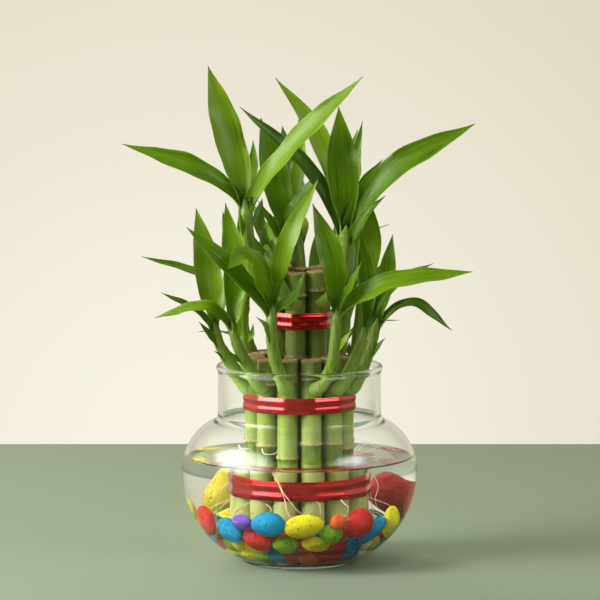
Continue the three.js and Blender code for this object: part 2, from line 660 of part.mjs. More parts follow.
// Pebbles in sight through the front of the bowl: angle from the front, height, three diameters, and tilt
const SEEN_PEBBLES = {
  pebble_red_left: { dye: "red", angle: -71, height: 27, size: [17, 11, 16], tilt: 10 },
  pebble_blue_left: { dye: "blue", angle: -47.5, height: 23.3, size: [17, 10, 12], tilt: 24 },
  pebble_purple_left: { dye: "purple", angle: -36, height: 29.3, size: [10.5, 10.5, 8.6], tilt: 0 },
  pebble_blue_front: { dye: "blue", angle: -19, height: 28.8, size: [19, 11, 14.5], tilt: 0 },
  pebble_red_front: { dye: "red", angle: -28, height: 19.3, size: [17.5, 10, 10.8], tilt: 22 },
  pebble_green_front: { dye: "green", angle: -9, height: 17.5, size: [13, 9, 10.5], tilt: 0 },
  pebble_yellow_front: { dye: "yellow", angle: 3, height: 28, size: [19.5, 11, 13], tilt: -10 },
  pebble_yellow_low: { dye: "yellow", angle: 10.5, height: 18, size: [15, 9, 9], tilt: 8 },
  pebble_green_right: { dye: "green", angle: 20, height: 23, size: [12.5, 10, 12], tilt: 0 },
  pebble_red_right: { dye: "red", angle: 38, height: 28, size: [17, 12, 16.5], tilt: -30 },
  pebble_orange_right: { dye: "orange", angle: 22.5, height: 30.2, size: [9, 8, 8], tilt: 0 },
  pebble_blue_right: { dye: "blue", angle: 51, height: 23.7, size: [21, 9, 10], tilt: -38 },
  pebble_yellow_right: { dye: "yellow", angle: 69.5, height: 26, size: [13, 10.5, 17.5], tilt: -24 },
  pebble_red_back: { dye: "red", angle: 104, height: 33, size: [19, 12, 15], tilt: 0 },
  pebble_teal_back: { dye: "teal", angle: 92, height: 21, size: [14, 10, 9], tilt: 0 },
  pebble_yellow_back: { dye: "yellow", angle: -98, height: 31, size: [17, 11, 13], tilt: 0 },
  pebble_red_high: { dye: "red", angle: 141, height: 35.2, size: [21, 12, 10.5], tilt: 0 },
  pebble_yellow_high: { dye: "yellow", angle: -150.5, height: 34.7, size: [14, 11.5, 11], tilt: 0 },
};

// The rest of the bed, packed round the canes: it draws back from the glass where the seen pebbles lie
const BED = {
  inner: 31.3,
  pebblesAround: 17,
  samples: 3,
  relief: 2.6,
  top: 29,
  shoulder: { in: 4, down: 2 },
  bottomBack: 8.9,
  bottomFront: 14.5,
};
const BED_FRONT = { right: 117, left: 250, slope: 8, recess: 13.4, recessBack: 1.1 };
const BED_SIDE_ROWS = 6;
const BED_TOP_ROWS = 3;

/** A seen pebble lies along the glass, its outer side just clear of it. */
function seenPebble({ angle, height, size, tilt }, seed, grow = 0) {
  const centre = around(insideRadius(height) - size[1] / 2 - SEEN_CLEARANCE, angle, height);
  return pebbleSolid(centre, size, angle, tilt, seed, grow);
}

/** How far behind the seen pebbles an angle is, from 0 in front to 1 at the back. */
function behind(angle) {
  const right = THREE.MathUtils.smoothstep(angle, BED_FRONT.right, BED_FRONT.right + BED_FRONT.slope);
  const left = 1 - THREE.MathUtils.smoothstep(angle, BED_FRONT.left - BED_FRONT.slope, BED_FRONT.left);
  return Math.min(right, left);
}

/** The hollow between the pebbles' domes, from 0 on a pebble's crown to 1 in the gaps; rows are staggered. */
function hollow(place, row) {
  const across = Math.sin(Math.PI * (place + (row >> 1) / 2)) ** 2;
  return row % 2 ? 1 : across;
}

/** The packed pebbles as one ring round the canes, their domes raised in relief on its side and top. */
function bedSolid() {
  const turns = BED.pebblesAround * BED.samples;
  const rings = Array.from({ length: turns }, (_, turn) => {
    const angle = (360 * turn) / turns;
    const back = behind(angle);
    const bottom = THREE.MathUtils.lerp(BED.bottomFront, BED.bottomBack, back);
    const recess = THREE.MathUtils.lerp(BED_FRONT.recess, BED_FRONT.recessBack, back);
    const step = turn / BED.samples;
    const side = Array.from({ length: BED_SIDE_ROWS + 1 }, (_, row) => {
      const height = THREE.MathUtils.lerp(bottom, BED.top - BED.shoulder.down, row / BED_SIDE_ROWS);
      return around(insideRadius(height) - recess - BED.relief * hollow(step, row), angle, height);
    });
    const brow = insideRadius(BED.top) - recess - BED.shoulder.in;
    const top = Array.from({ length: BED_TOP_ROWS }, (_, row) => {
      const radius = THREE.MathUtils.lerp(brow, BED.inner, row / (BED_TOP_ROWS - 1));
      return around(radius, angle, BED.top - BED.relief * hollow(step, row));
    });
    return [around(BED.inner, angle, bottom), ...side, ...top];
  });
  return ringSolid(rings);
}

// The water

/** The water over the pebbles, with plain holes for the canes and room for the pebbles and the ribbon. */
function waterSolid(canes, stones, ribbon) {
  const body = bellyRoom().intersect(layer(WATER.underside, WATER.level));
  return mainBody(body.subtract(join([...canes.map((cane) => cane.hole), ...stones, ribbon])));
}

// The whole object

const group = new THREE.Group();

/** Adds a named piece to the object. */
function addPiece(name, solid, colour, { roughness = 0.5, metalness = 0, opacity = 1 } = {}) {
  const material = new THREE.MeshStandardMaterial({ color: colour, roughness, metalness });
  material.transparent = opacity < 1;
  material.opacity = opacity;
  const geometry = cleanGeometry(solid).toNonIndexed();
  geometry.computeVertexNormals();
  const mesh = new THREE.Mesh(geometry, material);
  mesh.name = name;
  group.add(mesh);
}

const twoDigits = (index) => String(index + 1).padStart(2, "0");

const outerCanes = caneTier(OUTER, SEEDS.outerTier);
const innerCanes = caneTier(INNER, SEEDS.innerTier);

addPiece("glass_bowl", bowlSolid(), GLASS_TINT, { roughness: 0.03, opacity: 0.3 });

/** Adds the canes of a tier, each with its shoot. */
function addTier(tier, canes, seed) {
  canes.forEach((cane, index) => {
    const key = `${tier}_${twoDigits(index)}`;
    const plan = FRONT_SHOOTS[key] ?? backShoot(cane, BACK_SHOOTS[key], seed + SEEDS.backPlans + index);
    addPiece(`cane_${key}`, cane.solid, CANE_GREEN, { roughness: 0.45 });
    const shoot = shootSolid(cane, plan, SHOOT_RADII[tier], seed + index);
    addPiece(`shoot_${key}`, shoot, LEAF_GREEN, { roughness: 0.4 });
  });
}

addTier("outer", outerCanes, SEEDS.outerShoots);
addTier("inner", innerCanes, SEEDS.innerShoots);

const foil = { roughness: 0.25, metalness: 0.9 };
addPiece("ribbon_lower", ribbonSolid(OUTER, RIBBON_HEIGHTS.lower), FOIL_RED, foil);
addPiece("ribbon_middle", ribbonSolid(OUTER, RIBBON_HEIGHTS.middle), FOIL_RED, foil);
addPiece("ribbon_upper", ribbonSolid(INNER, RIBBON_HEIGHTS.upper), FOIL_RED, foil);

const pebbleHoles = [];
const room = bellyRoom();
Object.entries(SEEN_PEBBLES).forEach(([name, plan], index) => {
  const stone = seenPebble(plan, SEEDS.pebbles + index);
  const clear = pebbleHoles.length ? stone.subtract(join(pebbleHoles)) : stone;
  addPiece(name, mainBody(clear.intersect(room)), DYES[plan.dye], { roughness: 0.6 });
  pebbleHoles.push(seenPebble(plan, SEEDS.pebbles + index, GAP));
});
addPiece("pebble_bed", bedSolid(), BED_COLOUR, { roughness: 0.7 });

const allCanes = [...outerCanes, ...innerCanes];
const water = waterSolid(allCanes, pebbleHoles, ribbonRoom(OUTER, RIBBON_HEIGHTS.lower));
addPiece("water", water, WATER_TINT, { roughness: 0.02, opacity: 0.4 });

export default group;
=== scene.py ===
"""Lucky bamboo in a glass bowl, dressed for the camera.

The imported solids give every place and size. Each sub-assembly here builds the finer form of its own
pieces by the same rules, in millimetres with +Z up and the front towards -Y, and dresses them in
finishes made of nodes.
"""

import logging
import math
from dataclasses import dataclass, field
from enum import Enum
from typing import Any, Optional, Sequence, Union

import bmesh
import bpy
import numpy as np
from mathutils import Matrix, Vector


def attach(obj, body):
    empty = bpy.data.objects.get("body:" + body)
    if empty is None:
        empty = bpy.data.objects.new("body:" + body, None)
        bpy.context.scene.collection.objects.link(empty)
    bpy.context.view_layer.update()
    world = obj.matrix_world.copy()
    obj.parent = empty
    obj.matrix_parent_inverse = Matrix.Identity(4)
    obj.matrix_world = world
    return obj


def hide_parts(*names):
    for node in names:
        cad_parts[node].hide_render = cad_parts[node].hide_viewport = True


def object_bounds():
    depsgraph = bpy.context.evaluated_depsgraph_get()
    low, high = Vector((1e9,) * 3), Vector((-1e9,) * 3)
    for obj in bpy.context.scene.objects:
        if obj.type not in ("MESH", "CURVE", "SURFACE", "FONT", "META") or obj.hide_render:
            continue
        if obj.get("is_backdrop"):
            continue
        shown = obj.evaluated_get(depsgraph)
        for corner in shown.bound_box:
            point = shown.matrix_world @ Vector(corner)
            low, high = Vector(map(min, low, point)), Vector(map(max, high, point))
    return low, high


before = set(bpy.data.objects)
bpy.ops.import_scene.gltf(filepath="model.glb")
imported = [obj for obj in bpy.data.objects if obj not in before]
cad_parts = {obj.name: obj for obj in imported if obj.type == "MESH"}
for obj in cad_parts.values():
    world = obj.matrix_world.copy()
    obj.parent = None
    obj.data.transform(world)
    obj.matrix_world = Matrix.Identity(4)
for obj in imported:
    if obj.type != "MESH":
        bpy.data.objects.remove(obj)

LOG = logging.getLogger("lucky_bamboo")
MM = 0.001
FULL_TURN = 2 * math.pi
ROOT = "root"

Points = np.ndarray
Vec = tuple[float, float, float]
Colour = tuple[float, float, float, float]
Socket = bpy.types.NodeSocket
Feed = Union[Socket, float, Sequence[float]]
Key = Union[int, str]


class Slot(Enum):
    """Material slots of the part's record."""

    GLASS = "clear_glass"
    WATER = "still_water"
    CANE = "cane_skin"
    LEAF = "leaf"
    FOIL = "red_foil"
    BED = "mixed_pebbles"


class Dye(Enum):
    """Colours that the pebbles are dyed in, as light and deep shades."""

    BLUE = ((0.000, 0.205, 0.370), (0.000, 0.055, 0.150))
    RED = ((0.460, 0.012, 0.009), (0.170, 0.003, 0.004))
    YELLOW = ((0.600, 0.520, 0.002), (0.350, 0.270, 0.000))
    GREEN = ((0.180, 0.340, 0.000), (0.050, 0.140, 0.000))
    PURPLE = ((0.210, 0.100, 0.520), (0.070, 0.025, 0.220))
    ORANGE = ((0.640, 0.095, 0.010), (0.320, 0.030, 0.003))
    TEAL = ((0.000, 0.190, 0.260), (0.000, 0.070, 0.110))
    CREAM = ((0.640, 0.600, 0.340), (0.400, 0.360, 0.160))
    # A darker, hazier copy of yellow: painted shade and haze for a yellow stone that sits in shadow behind
    # the water
    STRAW = ((0.520, 0.450, 0.040), (0.340, 0.270, 0.020))

    @property
    def slot(self) -> str:
        """Name of the record's slot for a pebble of this dye; the shaded yellow is yellow darkened and hazed
        as painted shade.
        """
        return "dye_yellow" if self is Dye.STRAW else f"dye_{self.name.lower()}"


class Lights(Enum):
    """What a lamp is for: to light matt surfaces, or to be mirrored by shiny ones."""

    BODIES = "bodies"
    MIRRORS = "mirrors"


class Tier(Enum):
    """The two rings of canes."""

    OUTER = "outer"
    INNER = "inner"


class Draws:
    """Repeatable random numbers from 0 to 1, the same ones that shape the solids."""

    MASK = 0xFFFFFFFF
    STEP = 0x6D2B79F5
    FACTOR = 61
    SHIFTS = (15, 7, 14)

    def __init__(self, seed: int) -> None:
        """Starts the run of numbers that belongs to a seed."""
        self.state = seed & self.MASK

    def next(self) -> float:
        """Draws one number.

        Returns:
            A number from 0 up to 1.
        """
        first, second, third = self.SHIFTS
        self.state = (self.state + self.STEP) & self.MASK
        mixed = ((self.state ^ (self.state >> first)) * (1 | self.state)) & self.MASK
        turned = ((mixed ^ (mixed >> second)) * (self.FACTOR | mixed)) & self.MASK
        mixed = ((mixed + turned) & self.MASK) ^ mixed
        return ((mixed ^ (mixed >> third)) & self.MASK) / (self.MASK + 1)

    def between(self, low: float, high: float) -> float:
        """Draws a number between two bounds."""
        return low + (high - low) * self.next()


def vec(*values: float) -> Points:
    """A point or direction as an array."""
    return np.array(values, dtype=float)


def around(radius: float, angle: float, height: float) -> Points:
    """A point on a circle about the bowl's axis, its angle in degrees from the front towards +X."""
    turn = math.radians(angle)
    return vec(radius * math.sin(turn), -radius * math.cos(turn), height)


def lerp(low: Any, high: Any, share: Any) -> Any:
    """The value at a share of the way from low to high."""
    return low + (high - low) * share


def smoothstep(value: Any, low: float, high: float) -> Any:
    """A smooth rise from 0 at low to 1 at high."""
    share = np.clip((value - low) / (high - low), 0.0, 1.0)
    return share * share * (3.0 - 2.0 * share)


def unit(vectors: Points) -> Points:
    """Vectors scaled to a length of one."""
    return vectors / np.linalg.norm(vectors, axis=-1, keepdims=True)


def hump(values: Points, middle: float, width: float) -> Points:
    """A smooth hump, 1 at its middle and 0 well beyond its width."""
    return np.exp(-(((values - middle) / width) ** 2))


def full_circle(sides: int) -> Points:
    """Angles in equal steps round a full turn."""
    return np.linspace(0, FULL_TURN, sides, endpoint=False)


def tube_spokes(ahead: Points, aside: Points, sides: int) -> Points:
    """Directions outward all round a tube.

    Args:
        ahead: Unit directions along the tube.
        aside: A direction that the tube never follows.
        sides: Directions round each of its points.

    Returns:
        The directions as (points, sides, 3).
    """
    side = unit(np.cross(ahead, aside))
    front = np.cross(side, ahead)
    turn = full_circle(sides)[:, None]
    return side[:, None] * np.cos(turn) + front[:, None] * np.sin(turn)


def show(name: str, data: bpy.types.ID) -> bpy.types.Object:
    """Puts a mesh, lamp or camera into the scene.

    Args:
        name: Name of the object.
        data: The mesh, lamp or camera.

    Returns:
        The object.
    """
    shown = bpy.data.objects.new(name, data)
    bpy.context.scene.collection.objects.link(shown)
    return shown


class Ripple:
    """A smooth, repeatable unevenness in space, from -1 to 1."""

    WAVES = 5

    def __init__(self, seed: int, scale: float) -> None:
        """Draws the directions and phases of the waves.

        Args:
            seed: Seed of the draws.
            scale: Waves per millimetre, roughly.
        """
        draws = Draws(seed)
        rows = [[draws.between(-1, 1) for _ in range(3)] for _ in range(self.WAVES)]
        self.ways = unit(np.array(rows)) * scale * FULL_TURN
        self.phases = np.array([draws.between(0, FULL_TURN) for _ in range(self.WAVES)])

    def at(self, points: Points) -> Points:
        """The unevenness at points of any shape (..., 3)."""
        return np.sin(points @ self.ways.T + self.phases).mean(axis=-1)


class SmoothLine:
    """A centripetal curve through points, read by its length, as the solids' stems and leaves follow it."""

    DIVISIONS = 200
    NUDGE = 1e-4
    POWER = 0.5

    def __init__(self, points: Sequence[Points]) -> None:
        """Measures the curve.

        Args:
            points: The points that it passes through, in order.
        """
        inner = np.array(points, dtype=float)
        first = 2 * inner[0] - inner[1]
        last = 2 * inner[-1] - inner[-2]
        self.knots = np.vstack([first, inner, last])
        self.places = np.linspace(0, 1, self.DIVISIONS + 1)
        samples = self._point(self.places)
        steps = np.linalg.norm(np.diff(samples, axis=0), axis=1)
        self.lengths = np.concatenate([[0.0], np.cumsum(steps)])
        self.length = float(self.lengths[-1])

    def _point(self, places: Points) -> Points:
        """Points at parameter values.

        Args:
            places: Values from 0 to 1.

        Returns:
            The points.
        """
        spans = len(self.knots) - 3
        whole = np.minimum(np.floor(places * spans).astype(int), spans - 1)
        weight = (places * spans - whole)[:, None]
        p0, p1, p2, p3 = (self.knots[whole + k] for k in range(4))
        pairs = ((p0, p1), (p1, p2), (p2, p3))
        d0, d1, d2 = (np.linalg.norm(b - a, axis=1)[:, None] ** self.POWER for a, b in pairs)
        out = ((p1 - p0) / d0 - (p2 - p0) / (d0 + d1) + (p2 - p1) / d1) * d1
        into = ((p2 - p1) / d1 - (p3 - p1) / (d1 + d2) + (p3 - p2) / d2) * d1
        square = -3 * p1 + 3 * p2 - 2 * out - into
        cube = 2 * p1 - 2 * p2 + out + into
        return p1 + weight * (out + weight * (square + weight * cube))

    def at(self, shares: Any) -> tuple[Points, Points]:
        """Reads the curve by length.

        Args:
            shares: Shares of the length from 0 to 1.

        Returns:
            The points there and the unit directions of the curve there.
        """
        places = np.interp(np.atleast_1d(shares) * self.length, self.lengths, self.places)
        before = self._point(np.clip(places - self.NUDGE, 0, 1))
        after = self._point(np.clip(places + self.NUDGE, 0, 1))
        return self._point(places), unit(after - before)


class Surface:
    """Closed bodies gathered into one mesh, with values painted on their points."""

    def __init__(self, painted: Sequence[str] = ()) -> None:
        """Starts an empty surface.

        Args:
            painted: Names of the vector values that every body brings for its points.
        """
        self.points: list[Points] = []
        self.faces: list[list[int]] = []
        self.paint: dict[str, list[Points]] = {name: [] for name in painted}
        self.count = 0

    def _take(self, points: Points, faces: Points, paint: dict[str, Points]) -> None:
        """Adds a body of triangles or quads, turned outside out.

        Args:
            points: Its points.
            faces: Point numbers of each face.
            paint: Values for each point, by name.
        """
        corners = points[faces]
        normal = np.cross(corners[:, 1] - corners[:, 0], corners[:, 2] - corners[:, 0])
        if faces.shape[1] == 4:
            normal = normal + np.cross(corners[:, 2] - corners[:, 0], corners[:, 3] - corners[:, 0])
        if np.einsum("ij,ij->", corners.mean(axis=1) - points.mean(axis=0), normal) < 0:
            faces = faces[:, ::-1]
        self.faces.extend((faces + self.count).tolist())
        self.points.append(points)
        self.count += len(points)
        for name, values in paint.items():
            self.paint[name].append(np.broadcast_to(values, (len(points), 3)))

    def add_rows(self, rows: Points, looped: bool = False, **paint: Points) -> None:
        """Adds a body skinned over rows of points that each close on themselves.

        Args:
            rows: Points as (rows, points in a row, 3).
            looped: Whether the last row joins the first; otherwise both ends are capped.
            **paint: Values for each point, shaped as rows are.
        """
        count, wide = rows.shape[:2]
        here = np.arange(count if looped else count - 1)
        beyond = (here + 1) % count
        across = np.arange(wide)
        beside = (across + 1) % wide
        quads = np.stack(
            [
                here[:, None] * wide + across,
                here[:, None] * wide + beside,
                beyond[:, None] * wide + beside,
                beyond[:, None] * wide + across,
            ],
            axis=-1,
        ).reshape(-1, 4)
        flat = rows.reshape(-1, 3)
        values = {name: value.reshape(-1, 3) for name, value in paint.items()}
        if looped:
            self._take(flat, quads, values)
            return
        ends = np.stack([rows[0].mean(axis=0), rows[-1].mean(axis=0)])
        flat = np.vstack([flat, ends])
        values = {
            name: np.vstack([value, value[:wide].mean(axis=0), value[-wide:].mean(axis=0)])
            for name, value in values.items()
        }
        start = count * wide
        last = (count - 1) * wide
        first_cap = np.stack([np.full(wide, start), beside, across, across], axis=-1)
        last_cap = np.stack([np.full(wide, start + 1), last + across, last + beside, last + beside], axis=-1)
        self._take(flat, np.vstack([quads, first_cap, last_cap]), values)

    def add_body(self, points: Points, triangles: Points, **paint: Points) -> None:
        """Adds a closed body of triangles, with values for its points."""
        self._take(points, triangles, paint)

    def make(self, name: str, sharp: float = 50.0) -> bpy.types.Object:
        """Makes the Blender object.

        Args:
            name: Its name.
            sharp: Angle in degrees from which an edge shades as a crease.

        Returns:
            The object, at the origin, in metres.
        """
        mesh = bpy.data.meshes.new(name)
        faces = [face[:3] if len(face) == 4 and face[2] == face[3] else face for face in self.faces]
        mesh.from_pydata((np.vstack(self.points) * MM).tolist(), [], faces)
        for key, values in self.paint.items():
            layer = mesh.attributes.new(key, "FLOAT_VECTOR", "POINT")
            layer.data.foreach_set("vector", np.vstack(values).astype(np.float32).ravel())
        mesh.shade_smooth()
        mesh.set_sharp_from_angle(angle=math.radians(sharp))
        return show(name, mesh)


def lathe(profile: Points, sides: int) -> Points:
    """Turns a profile about the Z axis.

    Args:
        profile: Points as (radius, height).
        sides: Points in each turn.

    Returns:
        Rows of points, one row for each point of the profile.
    """
    turn = full_circle(sides)
    radius = profile[:, 0][:, None]
    height = np.repeat(profile[:, 1][:, None], sides, axis=1)
    return np.stack([radius * np.cos(turn), radius * np.sin(turn), height], axis=-1)


def opaque(colour: Feed) -> Feed:
    """A plain colour with an alpha of one, or a socket as it is."""
    return colour if isinstance(colour, bpy.types.NodeSocket) else (*colour[:3], 1.0)


class Nodes:
    """A node tree in the making, with short calls for the nodes that the finishes and lights share."""

    def __init__(self, tree: bpy.types.NodeTree) -> None:
        """Empties the tree of a material, lamp or world."""
        self.tree = tree
        self.tree.nodes.clear()

    def node(self, kind: str, **settings: Any) -> bpy.types.Node:
        """Adds a node.

        Args:
            kind: Blender's name for the kind of node, without its ShaderNode prefix.
            **settings: Properties to set on it.

        Returns:
            The node.
        """
        made = self.tree.nodes.new(f"ShaderNode{kind}")
        for key, value in settings.items():
            setattr(made, key, value)
        return made

    def feed(self, target: Socket, value: Feed) -> None:
        """Links a socket to the target, or sets a plain value on it.

        Args:
            target: The input.
            value: What it is fed.
        """
        if isinstance(value, bpy.types.NodeSocket):
            self.tree.links.new(value, target)
        else:
            target.default_value = value

    def wired(self, kind: str, output: Key, feeds: dict[Key, Feed], **settings: Any) -> Socket:
        """Adds a node and feeds it.

        Args:
            kind: Blender's name for the kind of node, without its ShaderNode prefix.
            output: Name or number of the output that is wanted.
            feeds: What the inputs are fed, by their names or numbers.
            **settings: Properties to set on it.

        Returns:
            The output.
        """
        made = self.node(kind, **settings)
        for key, value in feeds.items():
            self.feed(made.inputs[key], value)
        return made.outputs[output]

    def place(self) -> Socket:
        """Coordinates in metres that stay with the object."""
        return self.node("TexCoord").outputs["Object"]

    def split(self, vector: Socket) -> tuple[Socket, Socket, Socket]:
        """The three numbers of a vector.

        Args:
            vector: The vector.

        Returns:
            One socket for each number.
        """
        made = self.node("SeparateXYZ")
        self.feed(made.inputs[0], vector)
        return made.outputs[0], made.outputs[1], made.outputs[2]

    def painted(self, name: str) -> tuple[Socket, Socket, Socket]:
        """The three numbers of a vector value painted on the mesh."""
        return self.split(self.wired("Attribute", "Vector", {}, attribute_name=name))

    def joined(self, x: Feed, y: Feed, z: Feed) -> Socket:
        """A vector of three numbers."""
        return self.wired("CombineXYZ", 0, {0: x, 1: y, 2: z})

    def scaled(self, vector: Socket, scale: Vec) -> Socket:
        """A vector with each number multiplied by its own factor."""
        return self.wired("VectorMath", 0, {0: vector, 1: scale}, operation="MULTIPLY")

    def distance(self, vector: Socket, spot: Vec) -> Socket:
        """Distance of a point from a spot."""
        return self.wired("VectorMath", "Value", {0: vector, 1: spot}, operation="DISTANCE")

    def noise(self, vector: Socket, scale: float, detail: float = 3.0, rough: float = 0.5) -> Socket:
        """Smooth noise from 0 to 1."""
        feeds = {"Vector": vector, "Scale": scale, "Detail": detail, "Roughness": rough}
        return self.wired("TexNoise", "Fac", feeds)

    def cells(self, vector: Socket, scale: float) -> Socket:
        """Distance to the nearest of many scattered points."""
        return self.wired("TexVoronoi", "Distance", {"Vector": vector, "Scale": scale})

    def maths(self, operation: str, first: Feed, second: Feed = 0.0) -> Socket:
        """One sum on numbers."""
        return self.wired("Math", 0, {0: first, 1: second}, operation=operation)

    def times(self, first: Feed, second: Feed) -> Socket:
        """The product of two numbers."""
        return self.maths("MULTIPLY", first, second)

    def plus(self, first: Feed, second: Feed) -> Socket:
        """The sum of two numbers."""
        return self.maths("ADD", first, second)

    def swing(self, value: Feed, amount: Feed, middle: float = 0.5) -> Socket:
        """How far a value is from the middle, times an amount."""
        return self.times(self.maths("SUBTRACT", value, middle), amount)

    def rise(self, value: Feed, low: float, high: float, start: float = 0.0, end: float = 1.0) -> Socket:
        """A smooth rise from start to end as value goes from low to high."""
        feeds = {"Value": value, "From Min": low, "From Max": high, "To Min": start, "To Max": end}
        return self.wired("MapRange", "Result", feeds, interpolation_type="SMOOTHSTEP")

    def ramp(self, value: Socket, stops: Sequence[tuple[float, Vec]], stepped: bool = False) -> Socket:
        """A colour for each value.

        Args:
            value: The value that chooses.
            stops: Place from 0 to 1 and colour of each stop.
            stepped: Whether the colour jumps at each stop.

        Returns:
            The colour.
        """
        made = self.node("ValToRGB")
        band = made.color_ramp
        band.interpolation = "CONSTANT" if stepped else "LINEAR"
        while len(band.elements) < len(stops):
            band.elements.new(0.5)
        for element, (spot, colour) in zip(band.elements, stops):
            element.position = spot
            element.color = opaque(colour)
        self.feed(made.inputs[0], value)
        return made.outputs["Color"]

    def mix(self, share: Feed, first: Feed, second: Feed) -> Socket:
        """Two colours mixed by a share."""
        return self.wired("Mix", 2, {0: share, 6: opaque(first), 7: opaque(second)}, data_type="RGBA")

    def layered(self, base: Feed, *layers: tuple[Feed, Feed]) -> Feed:
        """A colour with others laid over it in turn.

        Args:
            base: The colour underneath.
            *layers: Share and colour of each layer.

        Returns:
            The colour.
        """
        for share, colour in layers:
            base = self.mix(share, base, colour)
        return base

    def blend(self, share: Feed, first: Socket, second: Socket) -> Socket:
        """Two shaders mixed by a share."""
        return self.wired("MixShader", 0, {0: share, 1: first, 2: second})

    def bump(self, height: Socket, strength: float, depth: float, after: Optional[Socket] = None) -> Socket:
        """Relief of the surface.

        Args:
            height: Height from 0 to 1.
            strength: How much of it counts.
            depth: Depth in millimetres of the full height.
            after: Relief that this one lies on.

        Returns:
            The normal.
        """
        feeds = {"Strength": strength, "Distance": depth * MM, "Height": height}
        if after is not None:
            feeds["Normal"] = after
        return self.wired("Bump", "Normal", feeds)

    def principled(self, **values: Feed) -> Socket:
        """The main shader.

        Args:
            **values: Socket names in lower case with underscores, and what each is fed.

        Returns:
            Its output.
        """
        made = self.node("BsdfPrincipled")
        names = {socket.name.lower().replace(" ", "_"): socket for socket in made.inputs}
        for key, value in values.items():
            self.feed(names[key], opaque(value) if names[key].type == "RGBA" else value)
        return made.outputs[0]


class Shader(Nodes):
    """A material in the making."""

    def __init__(self, name: str) -> None:
        """Starts an empty material.

        Args:
            name: Name of the material.
        """
        self.material = bpy.data.materials.new(name)
        self.material.use_nodes = True
        super().__init__(self.material.node_tree)

    def finish(self, shader: Socket) -> bpy.types.Material:
        """Shows a shader on the surface and returns the material."""
        self.feed(self.node("OutputMaterial").inputs["Surface"], shader)
        return self.material


@dataclass(frozen=True)
class ClearFinish:
    """A clear body that bends light and lets the lamps light what is inside it.

    Attributes:
        name: Name of the finish.
        ior: How strongly it bends light.
        tint: Colour that light takes at each face.
        shade: Share of each colour that lamplight keeps on its way through a face.
        wave: Depth in millimetres of the faint unevenness of its faces.
        pitch: Size in millimetres of that unevenness.
        wave_strength: How much of the unevenness counts.
        smear: Scale of the faint smears.
        smear_roughness: Roughness where it is smeared.
    """

    name: str
    ior: float
    tint: Vec
    shade: Vec
    wave: float
    pitch: float
    wave_strength: float = 0.35
    smear: float = 60.0
    smear_roughness: float = 0.015

    def material(self) -> bpy.types.Material:
        """Makes the finish.

        Returns:
            Its material.
        """
        shader = Shader(self.name)
        place = shader.place()
        swell = shader.noise(place, 1 / (self.pitch * MM), 1.0)
        smears = shader.noise(place, self.smear, 2.0)
        body = shader.principled(
            base_color=self.tint,
            roughness=shader.rise(smears, 0.5, 0.8, 0.0, self.smear_roughness),
            ior=self.ior,
            transmission_weight=1.0,
            normal=shader.bump(swell, self.wave_strength, self.wave),
        )
        clear = shader.wired("BsdfTransparent", 0, {0: opaque(self.shade)})
        lamplight = shader.node("LightPath").outputs["Is Shadow Ray"]
        return shader.finish(shader.blend(lamplight, body, clear))


@dataclass(frozen=True)
class LeafFinish:
    """A fresh satin leaf with fine lengthwise veins, a pale margin that is partly painted rim glow, palest
    greens that are partly painted sheen, and a brown dried tip.

    The mesh brings blade (place along the leaf, place across it from -1 to 1, tone of the leaf) and
    kind (share of stem, share of underside, dryness).
    """

    deep: Vec = (0.042, 0.140, 0.001)
    fresh: Vec = (0.165, 0.350, 0.001)
    bright: Vec = (0.285, 0.475, 0.004)
    # Palest green, which the palest leaves reach: partly young growth, partly painted sheen
    young: Vec = (0.370, 0.530, 0.100)
    under: Vec = (0.340, 0.520, 0.020)
    # Pale edge colour: partly the leaf's own edge, partly painted rim glow from the back light
    margin_and_rim_glow: Vec = (0.480, 0.640, 0.080)
    sheath: Vec = (0.400, 0.560, 0.110)
    dried: Vec = (0.190, 0.100, 0.040)
    papery: Vec = (0.520, 0.380, 0.170)
    glow: float = 0.34
    stops: tuple[float, ...] = (0.14, 0.34, 0.55, 0.76)
    vein_scale: Vec = (6.0, 1.2, 37.0)
    streak_scale: Vec = (700.0, 700.0, 60.0)
    plain_tone: float = 0.88
    satin: tuple[float, float] = (0.30, 0.46)
    sheen: float = 0.20
    relief: tuple[float, float] = (0.30, 0.35)

    def material(self) -> bpy.types.Material:
        """Makes the finish.

        Returns:
            Its material.
        """
        shader = Shader("leaf_finish")
        along, across, tone = shader.painted("blade")
        stem, below, dry = shader.painted("kind")
        lines = shader.joined(*(shader.times(*pair) for pair in zip((across, along, tone), self.vein_scale)))
        narrowing = shader.rise(along, 0.70, 0.90, 1.0, 0.06)
        veins = shader.plus(0.5, shader.swing(shader.noise(lines, 1.6, 4.0, 0.68), narrowing))
        blotch = shader.noise(shader.place(), 70.0)
        shade = shader.plus(shader.times(veins, 0.95), shader.times(blotch, 0.25))
        shade = shader.plus(shade, shader.swing(tone, 0.58, self.plain_tone))
        greens = (self.deep, self.fresh, self.bright, self.young)
        edge = shader.maths("ABSOLUTE", across)
        streaks = shader.noise(shader.scaled(shader.place(), self.streak_scale), 1.0)
        stalk = shader.mix(shader.rise(streaks, 0.26, 0.56), self.fresh, self.sheath)
        ragged = shader.plus(dry, shader.swing(veins, 0.5))
        green = shader.layered(
            shader.ramp(shade, list(zip(self.stops, greens))),
            (shader.times(below, 0.55), self.under),
            # Pale margin: partly the leaf's own edge, partly painted rim glow
            (shader.rise(edge, 0.90, 0.99, 0.0, 0.75), self.margin_and_rim_glow),
            (shader.rise(edge, 0.0, 0.07, 0.35, 0.0), self.bright),
            (shader.rise(along, 0.04, 0.30, 0.75, 0.0), self.sheath),
            (shader.times(stem, 0.85), stalk),
            (shader.rise(ragged, 0.42, 0.62), shader.mix(stem, self.dried, self.papery)),
        )
        relief = shader.bump(veins, *self.relief)
        lit = shader.principled(
            base_color=green,
            roughness=shader.rise(veins, 0.3, 0.7, *self.satin),
            normal=relief,
            specular_ior_level=self.sheen,
        )
        let_through = shader.mix(0.45, green, self.young)
        through = shader.wired("BsdfTranslucent", 0, {"Color": let_through, "Normal": relief})
        return shader.finish(shader.blend(self.glow, lit, through))


